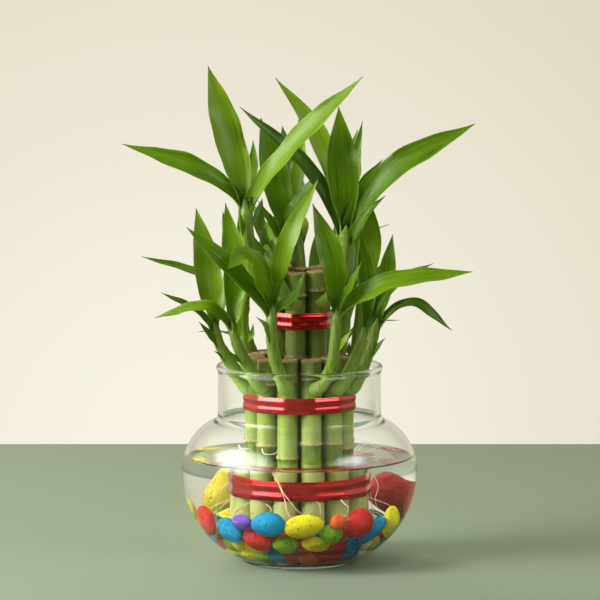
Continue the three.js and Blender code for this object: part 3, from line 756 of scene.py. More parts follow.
@dataclass(frozen=True)
class CaneFinish:
    """Living green rind with a waxy bloom over each joint, paler in the water, tan where it was cut.

    The mesh brings rind (place between joints, dryness, tone of the cane).
    """

    green: Vec = (0.138, 0.210, 0.014)
    deep: Vec = (0.055, 0.108, 0.003)
    bloom: Vec = (0.222, 0.280, 0.064)
    sunk: Vec = (0.370, 0.375, 0.125)
    dried: Vec = (0.420, 0.270, 0.110)
    pale: Vec = (0.640, 0.480, 0.250)
    burnt: Vec = (0.110, 0.055, 0.020)
    water: float = 57.0
    stops: tuple[float, ...] = (0.00, 0.22, 0.48, 0.82, 0.92)
    streak_scale: Vec = (620.0, 620.0, 26.0)
    fibre_scale: Vec = (1500.0, 1500.0, 500.0)
    satin: tuple[float, float] = (0.30, 0.44)
    sheen: float = 0.30
    soft: float = 0.12
    soft_depth: float = 0.002
    soft_radius: Vec = (1.0, 1.2, 0.4)

    def material(self) -> bpy.types.Material:
        """Makes the finish.

        Returns:
            Its material.
        """
        shader = Shader("cane_finish")
        between, dry, tone = shader.painted("rind")
        place = shader.place()
        _, _, height = shader.split(place)
        streaks = shader.noise(shader.scaled(place, self.streak_scale), 1.0, 4.0, 0.6)
        patches = shader.noise(place, 130.0)
        wax = shader.plus(between, shader.swing(patches, 0.5))
        greens = (self.bloom, self.bloom, self.green, self.green, self.deep)
        fibres = shader.noise(shader.scaled(place, self.fibre_scale), 1.0, 3.0, 0.7)
        bark = shader.ramp(fibres, [(0.30, self.burnt), (0.50, self.dried), (0.74, self.pale)])
        ragged = shader.plus(dry, shader.swing(fibres, 0.7))
        colour = shader.layered(
            shader.ramp(wax, list(zip(self.stops, greens))),
            (shader.rise(streaks, 0.46, 0.74, 0.0, 0.40), self.bloom),
            (shader.rise(streaks, 0.46, 0.26, 0.0, 0.55), self.deep),
            (shader.times(tone, 0.35), self.green),
            (shader.rise(height, (self.water + 1) * MM, (self.water - 3) * MM, 0.0, 0.74), self.sunk),
            (shader.rise(ragged, 0.42, 0.58), bark),
        )
        relief = shader.bump(streaks, 0.25, 0.25)
        relief = shader.bump(shader.times(fibres, dry), 0.8, 0.5, relief)
        living = shader.rise(patches, 0.3, 0.7, *self.satin)
        lit = shader.principled(
            base_color=colour,
            roughness=shader.plus(living, shader.times(dry, 0.35)),
            normal=relief,
            specular_ior_level=self.sheen,
            subsurface_weight=self.soft,
            subsurface_radius=self.soft_radius,
            subsurface_scale=self.soft_depth,
        )
        return shader.finish(lit)


@dataclass(frozen=True)
class FoilFinish:
    """Shiny red foil with folds that run along it, darker in the folds as painted shade.

    Attributes:
        folds: Depth of the folds in millimetres.
        pitch: Height of a fold in millimetres.
        red: Its colour.
        painted_fold_shade: Its colour in a fold, as painted shade.
        run: How many times longer than high a fold is.
        fine: Scale of the patches that are a little duller.
        satin: Least and greatest roughness.
        metal: How metallic it is.
        coat: Strength of its lacquer.
        coat_roughness: Roughness of its lacquer.
    """

    folds: float
    pitch: float
    red: Vec = (0.480, 0.009, 0.010)
    # Darker red laid into the folds: painted shade
    painted_fold_shade: Vec = (0.260, 0.003, 0.006)
    run: float = 30
    fine: float = 260.0
    satin: tuple[float, float] = (0.20, 0.27)
    metal: float = 0.85
    coat: float = 0.3
    coat_roughness: float = 0.12

    def material(self) -> bpy.types.Material:
        """Makes the finish.

        Returns:
            Its material.
        """
        shader = Shader(f"foil_finish_{round(self.folds * 100)}")
        place = shader.place()
        along = 1 / (self.run * self.pitch * MM)
        lines = shader.noise(shader.scaled(place, (along, along, 1 / (self.pitch * MM))), 1.0, 1.0, 0.4)
        patches = shader.noise(place, self.fine, 1.0)
        lit = shader.principled(
            # The low parts of the folds take the darker red: painted shade
            base_color=shader.mix(shader.rise(lines, 0.50, 0.28, 0.0, 0.7), self.red, self.painted_fold_shade),
            metallic=self.metal,
            roughness=shader.rise(patches, 0.3, 0.7, *self.satin),
            normal=shader.bump(lines, 1.0, self.folds),
            coat_weight=self.coat,
            coat_roughness=self.coat_roughness,
        )
        return shader.finish(lit)


@dataclass(frozen=True)
class PebbleFinish:
    """A dyed stone, satin and wet, with shallow pits where the dye gathers.

    Attributes:
        dye: The dye, or None for mixed dyes; then the mesh brings stone (place in the row of dyes).
        cloud: Scale of the clouds of deeper dye.
        pit: Scale of the pits.
        spot: Scale of the fine spots.
        satin: Least and greatest roughness.
        sheen: Strength of the mirror-like light.
        ior: How strongly its wet skin bends light.
    """

    dye: Optional[Dye]
    cloud: float = 150.0
    pit: float = 520.0
    spot: float = 420.0
    satin: tuple[float, float] = (0.40, 0.62)
    sheen: float = 0.16
    ior: float = 1.33

    def shades(self, shader: Shader) -> tuple[Feed, Feed]:
        """The light and the deep shade of the dye.

        Args:
            shader: The material in the making.

        Returns:
            Both colours.
        """
        if self.dye is not None:
            return self.dye.value
        chosen, _, _ = shader.painted("stone")
        light = [(index / len(Dye), dye.value[0]) for index, dye in enumerate(Dye)]
        deep = [(index / len(Dye), dye.value[1]) for index, dye in enumerate(Dye)]
        return shader.ramp(chosen, light, stepped=True), shader.ramp(chosen, deep, stepped=True)

    def material(self) -> bpy.types.Material:
        """Makes the finish.

        Returns:
            Its material.
        """
        shader = Shader(f"pebble_{self.dye.name.lower() if self.dye else 'mixed'}_finish")
        light, deep = self.shades(shader)
        place = shader.place()
        clouds = shader.noise(place, self.cloud, 4.0, 0.6)
        pits = shader.cells(place, self.pit)
        spots = shader.noise(place, self.spot, 3.0, 0.65)
        pitted = shader.times(shader.rise(pits, 0.44, 0.22), shader.rise(spots, 0.43, 0.55))
        cloudy = shader.rise(clouds, 0.38, 0.72, 0.0, 0.55)
        colour = shader.layered(light, (cloudy, deep), (shader.times(pitted, 0.75), deep))
        hollow = shader.bump(shader.maths("SUBTRACT", 1.0, pitted), 0.8, 0.5)
        lit = shader.principled(
            base_color=colour,
            roughness=shader.rise(spots, 0.3, 0.7, *self.satin),
            normal=shader.bump(spots, 0.35, 0.35, hollow),
            ior=self.ior,
            specular_ior_level=self.sheen,
        )
        return shader.finish(lit)


@dataclass(frozen=True)
class RootFinish:
    """Fine roots, tan where they are old and whitish where they are young.

    The mesh brings strand (how young the root is).
    """

    old: Vec = (0.560, 0.400, 0.180)
    young: Vec = (0.800, 0.760, 0.600)
    blotch: float = 400.0
    roughness: float = 0.55

    def material(self) -> bpy.types.Material:
        """Makes the finish.

        Returns:
            Its material.
        """
        shader = Shader("root_finish")
        age, _, _ = shader.painted("strand")
        blotches = shader.noise(shader.place(), self.blotch)
        mixed = shader.plus(age, shader.swing(blotches, 0.6))
        colour = shader.mix(shader.rise(mixed, 0.2, 0.8), self.old, self.young)
        relief = shader.bump(blotches, 0.4, 0.1)
        return shader.finish(shader.principled(base_color=colour, roughness=self.roughness, normal=relief))


def dress(piece: bpy.types.Object, material: bpy.types.Material, slot: str, *nodes: str) -> None:
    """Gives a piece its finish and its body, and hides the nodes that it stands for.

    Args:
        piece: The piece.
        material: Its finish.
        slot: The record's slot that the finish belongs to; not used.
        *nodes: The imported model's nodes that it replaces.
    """
    piece.data.materials.append(material)
    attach(piece, ROOT)
    if nodes:
        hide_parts(*nodes)
    LOG.info("%s: %d faces", piece.name, len(piece.data.polygons))


@dataclass(frozen=True)
class HalfBelly:
    """A quarter ellipse of the bowl's belly.

    Attributes:
        centre: Radius at which the ellipse is centred.
        across: Its half width.
        up: Its half height.
    """

    centre: float
    across: float
    up: float

    def arc(self, waist: float, start: float, end: float, steps: int) -> Points:
        """Points of the arc between two heights.

        Args:
            waist: Height of the belly's widest place.
            start: First height.
            end: Last height.
            steps: Steps between them.

        Returns:
            Points as (radius, height).
        """
        first = math.asin((start - waist) / self.up)
        last = math.asin((end - waist) / self.up)
        angle = np.linspace(first, last, steps + 1)
        return np.stack([self.centre + self.across * np.cos(angle), waist + self.up * np.sin(angle)], axis=1)

    def radius(self, waist: float, height: Any) -> Any:
        """Radius of the arc at a height."""
        share = np.clip((height - waist) / self.up, -1.0, 1.0)
        return self.centre + self.across * np.sqrt(1.0 - share * share)


def bend(start: Vec, control: Vec, end: Vec, steps: int) -> Points:
    """Points of a curve that leaves start and reaches end towards one control point.

    Args:
        start: First point as (radius, height).
        control: Point that both ends head for.
        end: Last point.
        steps: Steps between the ends.

    Returns:
        The points between the ends, without them.
    """
    share = np.linspace(0, 1, steps + 1)[1:-1, None]
    first, middle, last = (np.array(point, dtype=float) for point in (start, control, end))
    return (1 - share) ** 2 * first + 2 * share * (1 - share) * middle + share**2 * last


@dataclass
class GlassBowl:
    """The blown bowl: low belly, straight neck, beaded rim and a foot that is hollowed underneath."""

    sides: int = 144
    wall: float = 2.0
    foot_radius: float = 29.8
    foot_ring: float = 25.5
    foot_hollow: float = 0.9
    heel_height: float = 1.9
    floor_height: float = 4.5
    waist: float = 49.5
    lower: HalfBelly = HalfBelly(12, 51.8, 51.5)
    upper: HalfBelly = HalfBelly(36, 27.8, 30)
    lower_inside: HalfBelly = HalfBelly(12, 49.8, 48)
    upper_inside: HalfBelly = HalfBelly(36, 25.8, 28)
    shoulder: float = 77.2
    shoulder_inside: float = 75.9
    neck_start: float = 81.0
    neck_start_inside: float = 79.8
    neck_radius: float = 44.2
    neck_end: float = 103.2
    bead_centre: tuple[float, float] = (43.62, 106.05)
    bead_size: tuple[float, float] = (1.48, 1.55)
    bead_arc: tuple[float, float] = (-42, 222)
    flat_floor: float = 26.5
    belly_steps: int = 30
    crown_steps: int = 24
    finish: ClearFinish = ClearFinish(
        "glass_finish", 1.30, (0.990, 0.996, 0.990), (0.96, 0.98, 0.965), 0.25, 45.0
    )

    def inside_radius(self, height: Any) -> Any:
        """Radius of the inside of the belly.

        Args:
            height: One height or an array of them.

        Returns:
            The radius at each.
        """
        low = self.lower_inside.radius(self.waist, height)
        high = self.upper_inside.radius(self.waist, height)
        return np.where(np.asarray(height) < self.waist, low, high)

    def outside(self) -> Points:
        """Profile of the outside, from under the foot up to the bead.

        Returns:
            Points as (radius, height).
        """
        heel = self.lower.arc(self.waist, self.heel_height, self.waist, self.belly_steps)
        crown = self.upper.arc(self.waist, self.waist, self.shoulder, self.crown_steps)[1:]
        neck = (self.neck_radius, self.neck_start)
        foot = np.array([[1.0, self.foot_hollow], [self.foot_ring * 0.6, self.foot_hollow * 0.8]])
        ring = np.array([[self.foot_ring, 0.1], [self.foot_ring + 0.8, 0.0], [self.foot_radius - 0.5, 0.0]])
        edge = bend(ring[-1], (self.foot_radius + 0.7, 0.0), heel[0], 5)
        flare = bend(crown[-1], (self.neck_radius, self.shoulder + 1.4), neck, 7)
        return np.vstack([foot, ring, edge, heel, crown, flare, [neck, (self.neck_radius, self.neck_end)]])

    def bead(self) -> Points:
        """Profile of the rounded rim, from its outer side over the top to its inner side.

        Returns:
            Points as (radius, height).
        """
        angle = np.radians(np.linspace(*self.bead_arc, 23))
        radius = self.bead_centre[0] + self.bead_size[0] * np.cos(angle)
        height = self.bead_centre[1] + self.bead_size[1] * np.sin(angle)
        return np.stack([radius, height], axis=1)

    def inside(self) -> Points:
        """Profile of the inside, from under the bead down to the floor.

        Returns:
            Points as (radius, height).
        """
        neck_radius = self.neck_radius - self.wall
        neck = (neck_radius, self.neck_start_inside)
        low = self.floor_height
        crown = self.upper_inside.arc(self.waist, self.shoulder_inside, self.waist, self.crown_steps)
        belly = self.lower_inside.arc(self.waist, self.waist, low + 0.6, self.belly_steps)[1:]
        flare = bend(neck, (neck_radius, self.shoulder_inside + 1.3), crown[0], 7)
        corner = bend(belly[-1], (belly[-1][0] - 1.2, low), (self.flat_floor, low), 5)
        floor = np.array([[self.flat_floor, low], [1.0, low]])
        return np.vstack([[(neck_radius, self.neck_end), neck], flare, crown, belly, corner, floor])

    def build(self) -> None:
        """Makes the bowl."""
        surface = Surface()
        profile = np.vstack([self.outside(), self.bead(), self.inside()])
        surface.add_rows(lathe(profile, self.sides))
        piece = surface.make("blown_bowl", sharp=70.0)
        dress(piece, self.finish.material(), Slot.GLASS.value, "glass_bowl")


@dataclass
class Water:
    """Still water that wets the glass.

    Its side lies a hair inside the wall, so that light bends at one border only, and its edge climbs.
    """

    bowl: GlassBowl
    level: float = 57.0
    wetting: float = 0.15
    climb: float = 1.5
    reach: float = 3.4
    fall: float = 4.2
    rim_start: float = 8
    sides: int = 144
    finish: ClearFinish = ClearFinish(
        "water_finish", 1.25, (0.994, 0.997, 0.990), (0.98, 0.99, 0.975), 0.05, 16.0
    )

    def build(self) -> None:
        """Makes the water."""
        bowl = self.bowl
        low = np.linspace(bowl.floor_height - self.wetting, self.rim_start, 8)
        high = np.linspace(self.rim_start, self.level + self.climb, 46)[1:]
        heights = np.concatenate([low, high])
        side = np.stack([bowl.inside_radius(heights) + self.wetting, heights], axis=1)
        top = side[-1]
        inward = np.linspace(0, 1, 14)[1:]
        curl = np.exp(-self.fall * inward) - math.exp(-self.fall) * inward
        edge = np.stack([top[0] - self.reach * inward, self.level + self.climb * curl], axis=1)
        rings = np.linspace(edge[-1][0], 2.0, 12)[1:]
        surface_rows = np.stack([rings, np.full(len(rings), self.level)], axis=1)
        floor = np.array([[1.0, side[0][1]], [side[0][0] * 0.6, side[0][1]]])
        surface = Surface()
        surface.add_rows(lathe(np.vstack([floor, side, edge, surface_rows]), self.sides))
        dress(surface.make("bowl_water", sharp=60.0), self.finish.material(), Slot.WATER.value, "water")


@dataclass(frozen=True)
class Ring:
    """A ring of canes.

    Attributes:
        tier: Which ring it is.
        count: Number of canes.
        radius: Radius of the ring.
        turn: Angle of the first cane, in degrees from the front.
        top: Height of the cut tops.
        joints: Heights of the joints.
        joint_spread: How far those heights differ from cane to cane.
        seed: Seed of the small differences.
    """

    tier: Tier
    count: int
    radius: float
    turn: float
    top: float
    joints: tuple[float, ...]
    joint_spread: float
    seed: int

    def angles(self) -> list[float]:
        """Angles of the canes, in degrees from the front towards +X."""
        return [self.turn + 360 / self.count * index for index in range(self.count)]

    def centres(self) -> list[Points]:
        """Centres of the canes, from the front towards +X."""
        return [around(self.radius, angle, 0) for angle in self.angles()]


OUTER_RING = Ring(Tier.OUTER, 12, 24.5, 15, 113, (64, 103), 9, 133)
INNER_RING = Ring(Tier.INNER, 6, 12, -10, 160, (68, 112, 147), 4, 23)
RINGS = (OUTER_RING, INNER_RING)
CANE_RADIUS = 5.5


@dataclass
class Cane:
    """One rooted cane: a rind with swollen joints, dry scale scars on them and a ragged cut top."""

    name: str
    centre: Points
    top: float
    joints: list[float]
    seed: int
    foot: float = 4.8
    sides: int = 40
    swell: float = 0.45
    swell_height: float = 1.1
    groove: float = 0.16
    groove_drop: float = 0.35
    groove_height: float = 0.28
    row_step: float = 2.6
    top_spread: float = 2.5
    foot_inset: float = 1.0
    uneven: float = 0.16
    fine: float = 0.05
    scar_sides: int = 56
    close_rows: tuple[float, ...] = (-2.6, -1.8, -1.2, -0.8, -0.4, -0.1, 0.2, 0.5, 0.9, 1.3, 1.9, 2.6)
    crown_rings: tuple[Vec, ...] = (
        (0.12, 0.18, 0.22), (0.5, 0.0, 0.34), (0.95, 0.3, 0.16), (2.6, 0.55, 0.05),
    )

    @classmethod
    def ring(cls, ring: Ring) -> list["Cane"]:
        """The canes of a ring, each with its own small differences of height.

        Args:
            ring: The ring.

        Returns:
            The canes in order.
        """
        draws = Draws(ring.seed)
        canes = []
        for index, centre in enumerate(ring.centres()):
            top = ring.top + (draws.next() - 0.5) * cls.top_spread
            joints = [height + (draws.next() - 0.5) * ring.joint_spread for height in ring.joints]
            name = f"{ring.tier.value}_{index + 1:02d}"
            canes.append(cls(name, centre, top, joints, ring.seed * 100 + index))
        return canes

    def heights(self) -> Points:
        """Heights of the rows, close together at the joints, the foot and the top.

        Returns:
            The heights from the foot up.
        """
        rows = [np.arange(self.foot + 1.6, self.top - 3, self.row_step)]
        rows += [joint + np.array(self.close_rows) for joint in self.joints]
        merged = np.sort(np.concatenate(rows))
        merged = merged[np.concatenate([[True], np.diff(merged) > 0.16])]
        ends = [self.foot, self.foot + 0.4, self.foot + 0.9]
        crown = [self.top - 2.4, self.top - 1.6, self.top - 1.0, self.top - 0.55]
        return np.concatenate([ends, merged[merged < self.top - 2.9], crown])

    def radius(self, heights: Points) -> Points:
        """Radius of the cane, before the rind's own unevenness.

        Args:
            heights: Heights of the rows.

        Returns:
            The radius at each.
        """
        radius = np.full(len(heights), CANE_RADIUS)
        for joint in self.joints:
            radius += self.swell * hump(heights, joint, self.swell_height)
            radius -= self.groove * hump(heights, joint - self.groove_drop, self.groove_height)
        return radius - self.foot_inset * (1 - smoothstep(heights, self.foot, self.foot + 1.0))

    def between(self, heights: Points) -> Points:
        """How far each height is from the joint under it to the one over it.

        Args:
            heights: Heights of the rows.

        Returns:
            Shares from 0 to 1.
        """
        stops = np.array([self.foot, *self.joints, self.top + 12])
        span = np.clip(np.searchsorted(stops, heights, side="right") - 1, 0, len(stops) - 2)
        return np.clip((heights - stops[span]) / (stops[span + 1] - stops[span]), 0, 1)

    def add_rind(self, surface: Surface, tone: float) -> None:
        """Adds the rind and the cut top.

        Args:
            surface: The cane's surface.
            tone: Tone of the cane from 0 to 1.
        """
        heights = self.heights()
        rows = lathe(np.stack([self.radius(heights), heights], axis=1), self.sides)
        uneven = Ripple(self.seed, 0.035).at(rows + self.centre * 3)
        fine = Ripple(self.seed + 7, 0.16).at(rows + self.centre)
        spokes = unit(rows * vec(1, 1, 0))
        rows = rows + spokes * (self.uneven * uneven + self.fine * fine)[..., None]
        turn = full_circle(self.sides)
        draws = Draws(self.seed)
        phases = [draws.between(0, FULL_TURN) for _ in range(4)]
        rag = sum(np.sin(turn * k + phase) / k for k, phase in zip((2, 5, 9, 13), phases))
        crown = []
        for inset, drop, ragged in self.crown_rings:
            ring = lathe(np.array([[CANE_RADIUS - inset, self.top - drop - 0.15]]), self.sides)[0]
            ring[:, 2] += np.minimum(ragged * rag, 0.15 + drop)
            crown.append(ring)
        centre = lathe(np.array([[0.8, self.top - 0.75]]), self.sides)[0]
        rows = np.concatenate([rows, np.array(crown), centre[None]])
        count = len(rows)
        cut = count - len(heights)
        dry = smoothstep(heights, self.top - 2.6, self.top - 0.9) * 0.62
        for joint in self.joints:
            dry = dry + 0.5 * hump(heights, joint + 0.05, 0.45)
        between = np.append(self.between(heights), np.full(cut, 0.9))
        dry = np.append(np.clip(dry, 0, 1), np.ones(cut))
        rind = np.stack([between, dry, np.full(count, tone)], axis=1)
        surface.add_rows(rows + self.centre, rind=np.repeat(rind[:, None], self.sides, axis=1))

    def add_scar(self, surface: Surface, joint: float, seed: int, tone: float) -> None:
        """Adds the ragged dry ring that an old leaf's sheath left on a joint.

        Args:
            surface: The cane's surface.
            joint: Height of the joint.
            seed: Seed of its rags.
            tone: Tone of the cane from 0 to 1.
        """
        draws = Draws(seed)
        rags = np.array([draws.next() for _ in range(self.scar_sides)])
        rags = 0.6 * rags + 0.4 * np.roll(rags, 1)
        turn = full_circle(self.scar_sides)
        low = joint - 0.35 + 0.15 * np.sin(turn + draws.between(0, 6))
        high = low + 0.7 + 2.1 * rags**2
        out = CANE_RADIUS + self.swell
        spokes = np.stack([np.cos(turn), np.sin(turn), np.zeros(self.scar_sides)], axis=1)
        lift = vec(0, 0, 1)
        rows = [
            spokes * (out - 0.10) + lift * low[:, None],
            spokes * (out + 0.14) + lift * (low + 0.02)[:, None],
            spokes * (out + 0.10 + 0.45 * rags[:, None]) + lift * high[:, None],
            spokes * (out - 0.04 + 0.40 * rags[:, None]) + lift * (high - 0.03)[:, None],
        ]
        dry = np.broadcast_to(vec(0.5, 1.0, tone), (len(rows), self.scar_sides, 3))
        surface.add_rows(np.array(rows) + self.centre, looped=True, rind=dry)

    def build(self, material: bpy.types.Material) -> None:
        """Makes the cane.

        Args:
            material: Its finish.
        """
        tone = Draws(self.seed + 31).next()
        surface = Surface(["rind"])
        self.add_rind(surface, tone)
        for index, joint in enumerate(self.joints):
            self.add_scar(surface, joint, self.seed * 7 + index, tone)
        piece = surface.make(f"rind_{self.name}", sharp=42.0)
        dress(piece, material, Slot.CANE.value, f"cane_{self.name}")


@dataclass(frozen=True)
class Leaf:
    """Where a leaf goes.

    Attributes:
        at: Share of the stem's length at which it opens.
        through: A point half way along it.
        tip: Its tip.
        width: Its greatest width.
        face: The way that its upper face looks.
        tone: How pale it is, from 0 for deep green to 1, or None for a drawn tone; a given tone is partly the
            leaf's own paleness and partly painted light and sheen on it.
    """

    at: float
    through: Vec
    tip: Vec
    width: float
    face: Vec
    tone: Optional[float] = None


@dataclass(frozen=True)
class ShootPlan:
    """A stem's points and its leaves."""

    stem: tuple[Vec, ...]
    leaves: tuple[Leaf, ...]


# Shoots that the front shows, with the same values as the solids; each leaf's tone comes last, and holds
# painted light and sheen as well as the leaf's own paleness
FRONT_SHOOTS: dict[str, ShootPlan] = {
    "outer_12": ShootPlan(
        ((-8, -29, 100), (-12, -33, 111), (-15, -35, 128), (-14, -33, 145)),
        (
            Leaf(0.85, (-32, -42, 160), (-60, -40, 186), 12, (0.2, -0.8, 0.6), 0.34),
            Leaf(0.95, (-28, -46, 171), (-38, -62, 166), 16, (0.15, -0.7, 0.7), 0.66),
            Leaf(1.0, (-6, -40, 179), (10, -30, 211), 11, (-0.3, -0.9, 0.3), 0.66),
            Leaf(0.9, (-4, -38, 148), (3, -40, 162), 6.5, (-0.6, -0.7, 0.3), 0.4),
            Leaf(0.5, (-18, -38, 133), (-23, -39, 138), 5, (0.3, -0.7, 0.6), 0.6),
        ),
    ),
    "outer_01": ShootPlan(
        ((11, -29, 100), (17, -33, 110), (19, -35, 125), (20, -33, 143)),
        (
            Leaf(1.0, (17.5, -38.5, 167), (7, -34, 198), 14, (0.2, -0.95, 0.2), 0.45),
            Leaf(0.9, (45, -42, 155.5), (92, -38, 162), 13.5, (-0.1, -0.68, 0.7), 0.6),
            Leaf(0.95, (27, -40, 154), (33, -43, 168), 6.5, (-0.8, -0.5, 0.3), 0.4),
            Leaf(0.9, (16, -34, 148), (14, -30, 155), 5, (0.6, -0.7, 0.3), 0.5),
            Leaf(0.5, (23, -38, 124), (28, -39, 131), 5, (-0.4, -0.7, 0.6), 0.7),
        ),
    ),
    "outer_11": ShootPlan(
        ((-22, -22, 100), (-29, -27, 113), (-34, -29, 124), (-36, -28, 134)),
        (
            Leaf(1.0, (-34.5, -24, 160), (-39.5, -20, 197), 13.5, (0.1, -0.95, 0.2), 0.55),
            Leaf(0.9, (-49, -33, 142.5), (-77, -30, 136.5), 9, (0.1, -0.6, 0.8), 0.55),
            Leaf(0.75, (-32, -33, 132), (-31, -34, 138), 6, (-0.2, -0.8, 0.5), 0.3),
            Leaf(0.45, (-37, -32, 117), (-39, -34, 122), 4, (0.3, -0.8, 0.5), 0.5),
        ),
    ),
    "outer_10": ShootPlan(
        ((-29, -8, 97), (-36, -11, 108), (-43, -13, 120), (-46, -12, 132)),
        (
            Leaf(0.6, (-50, -17, 128), (-54, -19, 133), 5, (0.3, -0.7, 0.6), 0.4),
            Leaf(0.85, (-54, -18, 138), (-74, -22, 149), 6, (0.2, -0.6, 0.75), 0.35),
            Leaf(1.0, (-50.5, -12, 167), (-55.5, -8, 193), 15, (0.2, -0.95, 0.2), 0.85),
            Leaf(0.95, (-41, -6, 144), (-41, -2, 156), 6, (-0.5, -0.8, 0.2), 0.6),
            Leaf(0.4, (-42, -15, 114), (-46, -17, 117), 4, (0.3, -0.7, 0.6), 0.6),
        ),
    ),
    "outer_09": ShootPlan(
        ((-28, 8, 97), (-29, 12, 107), (-31, 15, 124), (-29, 13, 148)),
        (
            Leaf(1.0, (-31, 14, 168), (-33, 16, 188), 8, (0.3, -0.9, 0.2), 0.5),
            Leaf(0.95, (-23, 10, 162), (-20, 8, 176), 7, (-0.4, -0.9, 0.2), 0.4),
            Leaf(0.85, (-55, 18, 155), (-86, 20, 164), 7.5, (0.2, -0.6, 0.8), 0.3),
            Leaf(0.9, (-20, 22, 165), (-16, 36, 184), 9, (-0.3, 0.9, 0.3), 0.4),
            Leaf(0.45, (-26, 10, 122), (-25, 8, 129), 4, (-0.3, -0.8, 0.5), 0.4),
        ),
    ),
    "outer_02": ShootPlan(
        ((22, -22, 99), (28, -26, 110), (33, -27, 123), (36, -26, 134)),
        (
            Leaf(1.0, (36, -22, 154), (33, -21, 181), 10, (0.1, -0.95, 0.2), 0.3),
            Leaf(0.8, (38, -31, 136), (39, -32, 140), 5, (-0.3, -0.8, 0.5), 0.3),
            Leaf(0.95, (53, -20, 155), (72, -14, 164), 7, (-0.1, -0.6, 0.8), 0.3),
        ),
    ),
    "outer_03": ShootPlan(
        ((29, -8, 97), (34, -11, 107), (39, -13, 121), (42, -12, 134)),
        (
            Leaf(1.0, (46.5, -13, 156), (50, -10, 179), 10, (-0.1, -0.95, 0.2), 0.45),
            Leaf(0.9, (60, -16, 143), (82, -18, 128), 7.5, (-0.1, -0.6, 0.8), 0.25),
            Leaf(0.45, (42, -16, 119), (46, -17, 124), 5, (-0.3, -0.7, 0.6), 0.4),
        ),
    ),
    "outer_04": ShootPlan(
        ((29, 8, 97), (30, 12, 107), (32, 15, 124), (34, 13, 146)),
        (
            Leaf(1.0, (38, 8, 171), (37, -2, 199), 13, (0, -1, 0.1), 0.75),
            Leaf(0.95, (35, 22, 161), (29, 28, 176), 9, (0.2, -0.9, 0.3), 0.5),
            Leaf(0.4, (27, 10, 113), (27, 8, 119), 4, (0.3, -0.8, 0.5), 0.4),
        ),
    ),
    "inner_06": ShootPlan(
        ((-15, -8, 144), (-23, -10, 153), (-27, -11, 170), (-29.5, -10, 198)),
        (
            Leaf(0.95, (-53, -15, 214), (-95, -12, 228), 12, (0.1, -0.8, 0.6), 0.42),
            Leaf(1.0, (-39.5, -6, 235), (-49, -2, 269), 18, (0.3, -0.9, 0.2), 0.8),
            Leaf(0.9, (0, -24, 232), (34, -24, 265), 14.5, (-0.5, -0.7, 0.5), 0.68),
            Leaf(1.0, (-25, 2, 216), (-25, 5, 229), 7, (-0.2, -0.95, 0.1), 0.5),
            Leaf(0.6, (-31, -15, 186), (-32, -16, 193), 4, (0.3, -0.8, 0.4), 0.6),
        ),
    ),
    "inner_05": ShootPlan(
        ((-14, 11, 146), (-15, 14, 155), (-12, 13, 166), (-8, 10, 178)),
        (
            Leaf(1.0, (-13, 12, 206), (-21, 16, 240), 16, (0.2, -0.95, 0.1), 0.45),
            Leaf(1.0, (0, 20, 216), (0, 24, 242), 8.5, (-0.2, -0.95, 0.1), 0.8),
            Leaf(0.9, (-1, 6, 195), (11, 2, 211), 9, (-0.6, -0.7, 0.4), 0.4),
            Leaf(0.85, (-16, 6, 185), (-22.5, 4, 196), 5.5, (0.4, -0.7, 0.6), 0.5),
            Leaf(0.7, (-23, 18, 186), (-34, 26, 204), 9, (0.3, 0.5, 0.8), 0.4),
        ),
    ),
    "inner_01": ShootPlan(
        ((-6.5, -14.5, 145), (-11, -17, 152), (-16, -16, 163), (-18, -12, 174)),
        (
            Leaf(1.0, (-22, -7, 186), (-20, -2, 198), 7, (0.3, -0.9, 0.3), 0.4),
            Leaf(0.9, (-15.5, -13, 170), (-14.5, -12, 177), 5, (0, -0.9, 0.3), 0.4),
            Leaf(0.75, (-21, -19, 171), (-25, -21, 180), 5, (0.3, -0.8, 0.5), 0.5),
        ),
    ),
    "inner_02": ShootPlan(
        ((15, -8, 145), (21, -10, 154), (24, -11, 168), (25, -10, 184)),
        (
            Leaf(1.0, (23, -15, 217), (21, -12, 248), 17.5, (0, -0.98, 0.15), 0.5),
            Leaf(0.92, (48, -18, 213), (94, -14, 239), 15.5, (-0.3, -0.85, 0.4), 0.42),
            Leaf(1.0, (9, 4, 233), (-13, 10, 262), 12, (0.3, -0.9, 0.1), 0.85),
            Leaf(0.8, (8, -6, 210), (-32, -12, 248), 10, (0.3, -0.8, 0.5), 0.2),
            Leaf(0.7, (37, -19, 192), (46, -21, 201), 7, (-0.3, -0.7, 0.6), 0.3),
            Leaf(1.0, (31, 3, 223), (34, 5, 239), 7, (-0.2, -0.95, 0.1), 0.3),
            Leaf(0.9, (36, 5, 206), (45, 9, 218), 9, (-0.4, -0.8, 0.4), 0.35),
        ),
    ),
}


# Radius of a shoot's stem at its root and at its tip
STEM_RADII = {Tier.OUTER: (3.5, 2.2), Tier.INNER: (4.4, 3.2)}


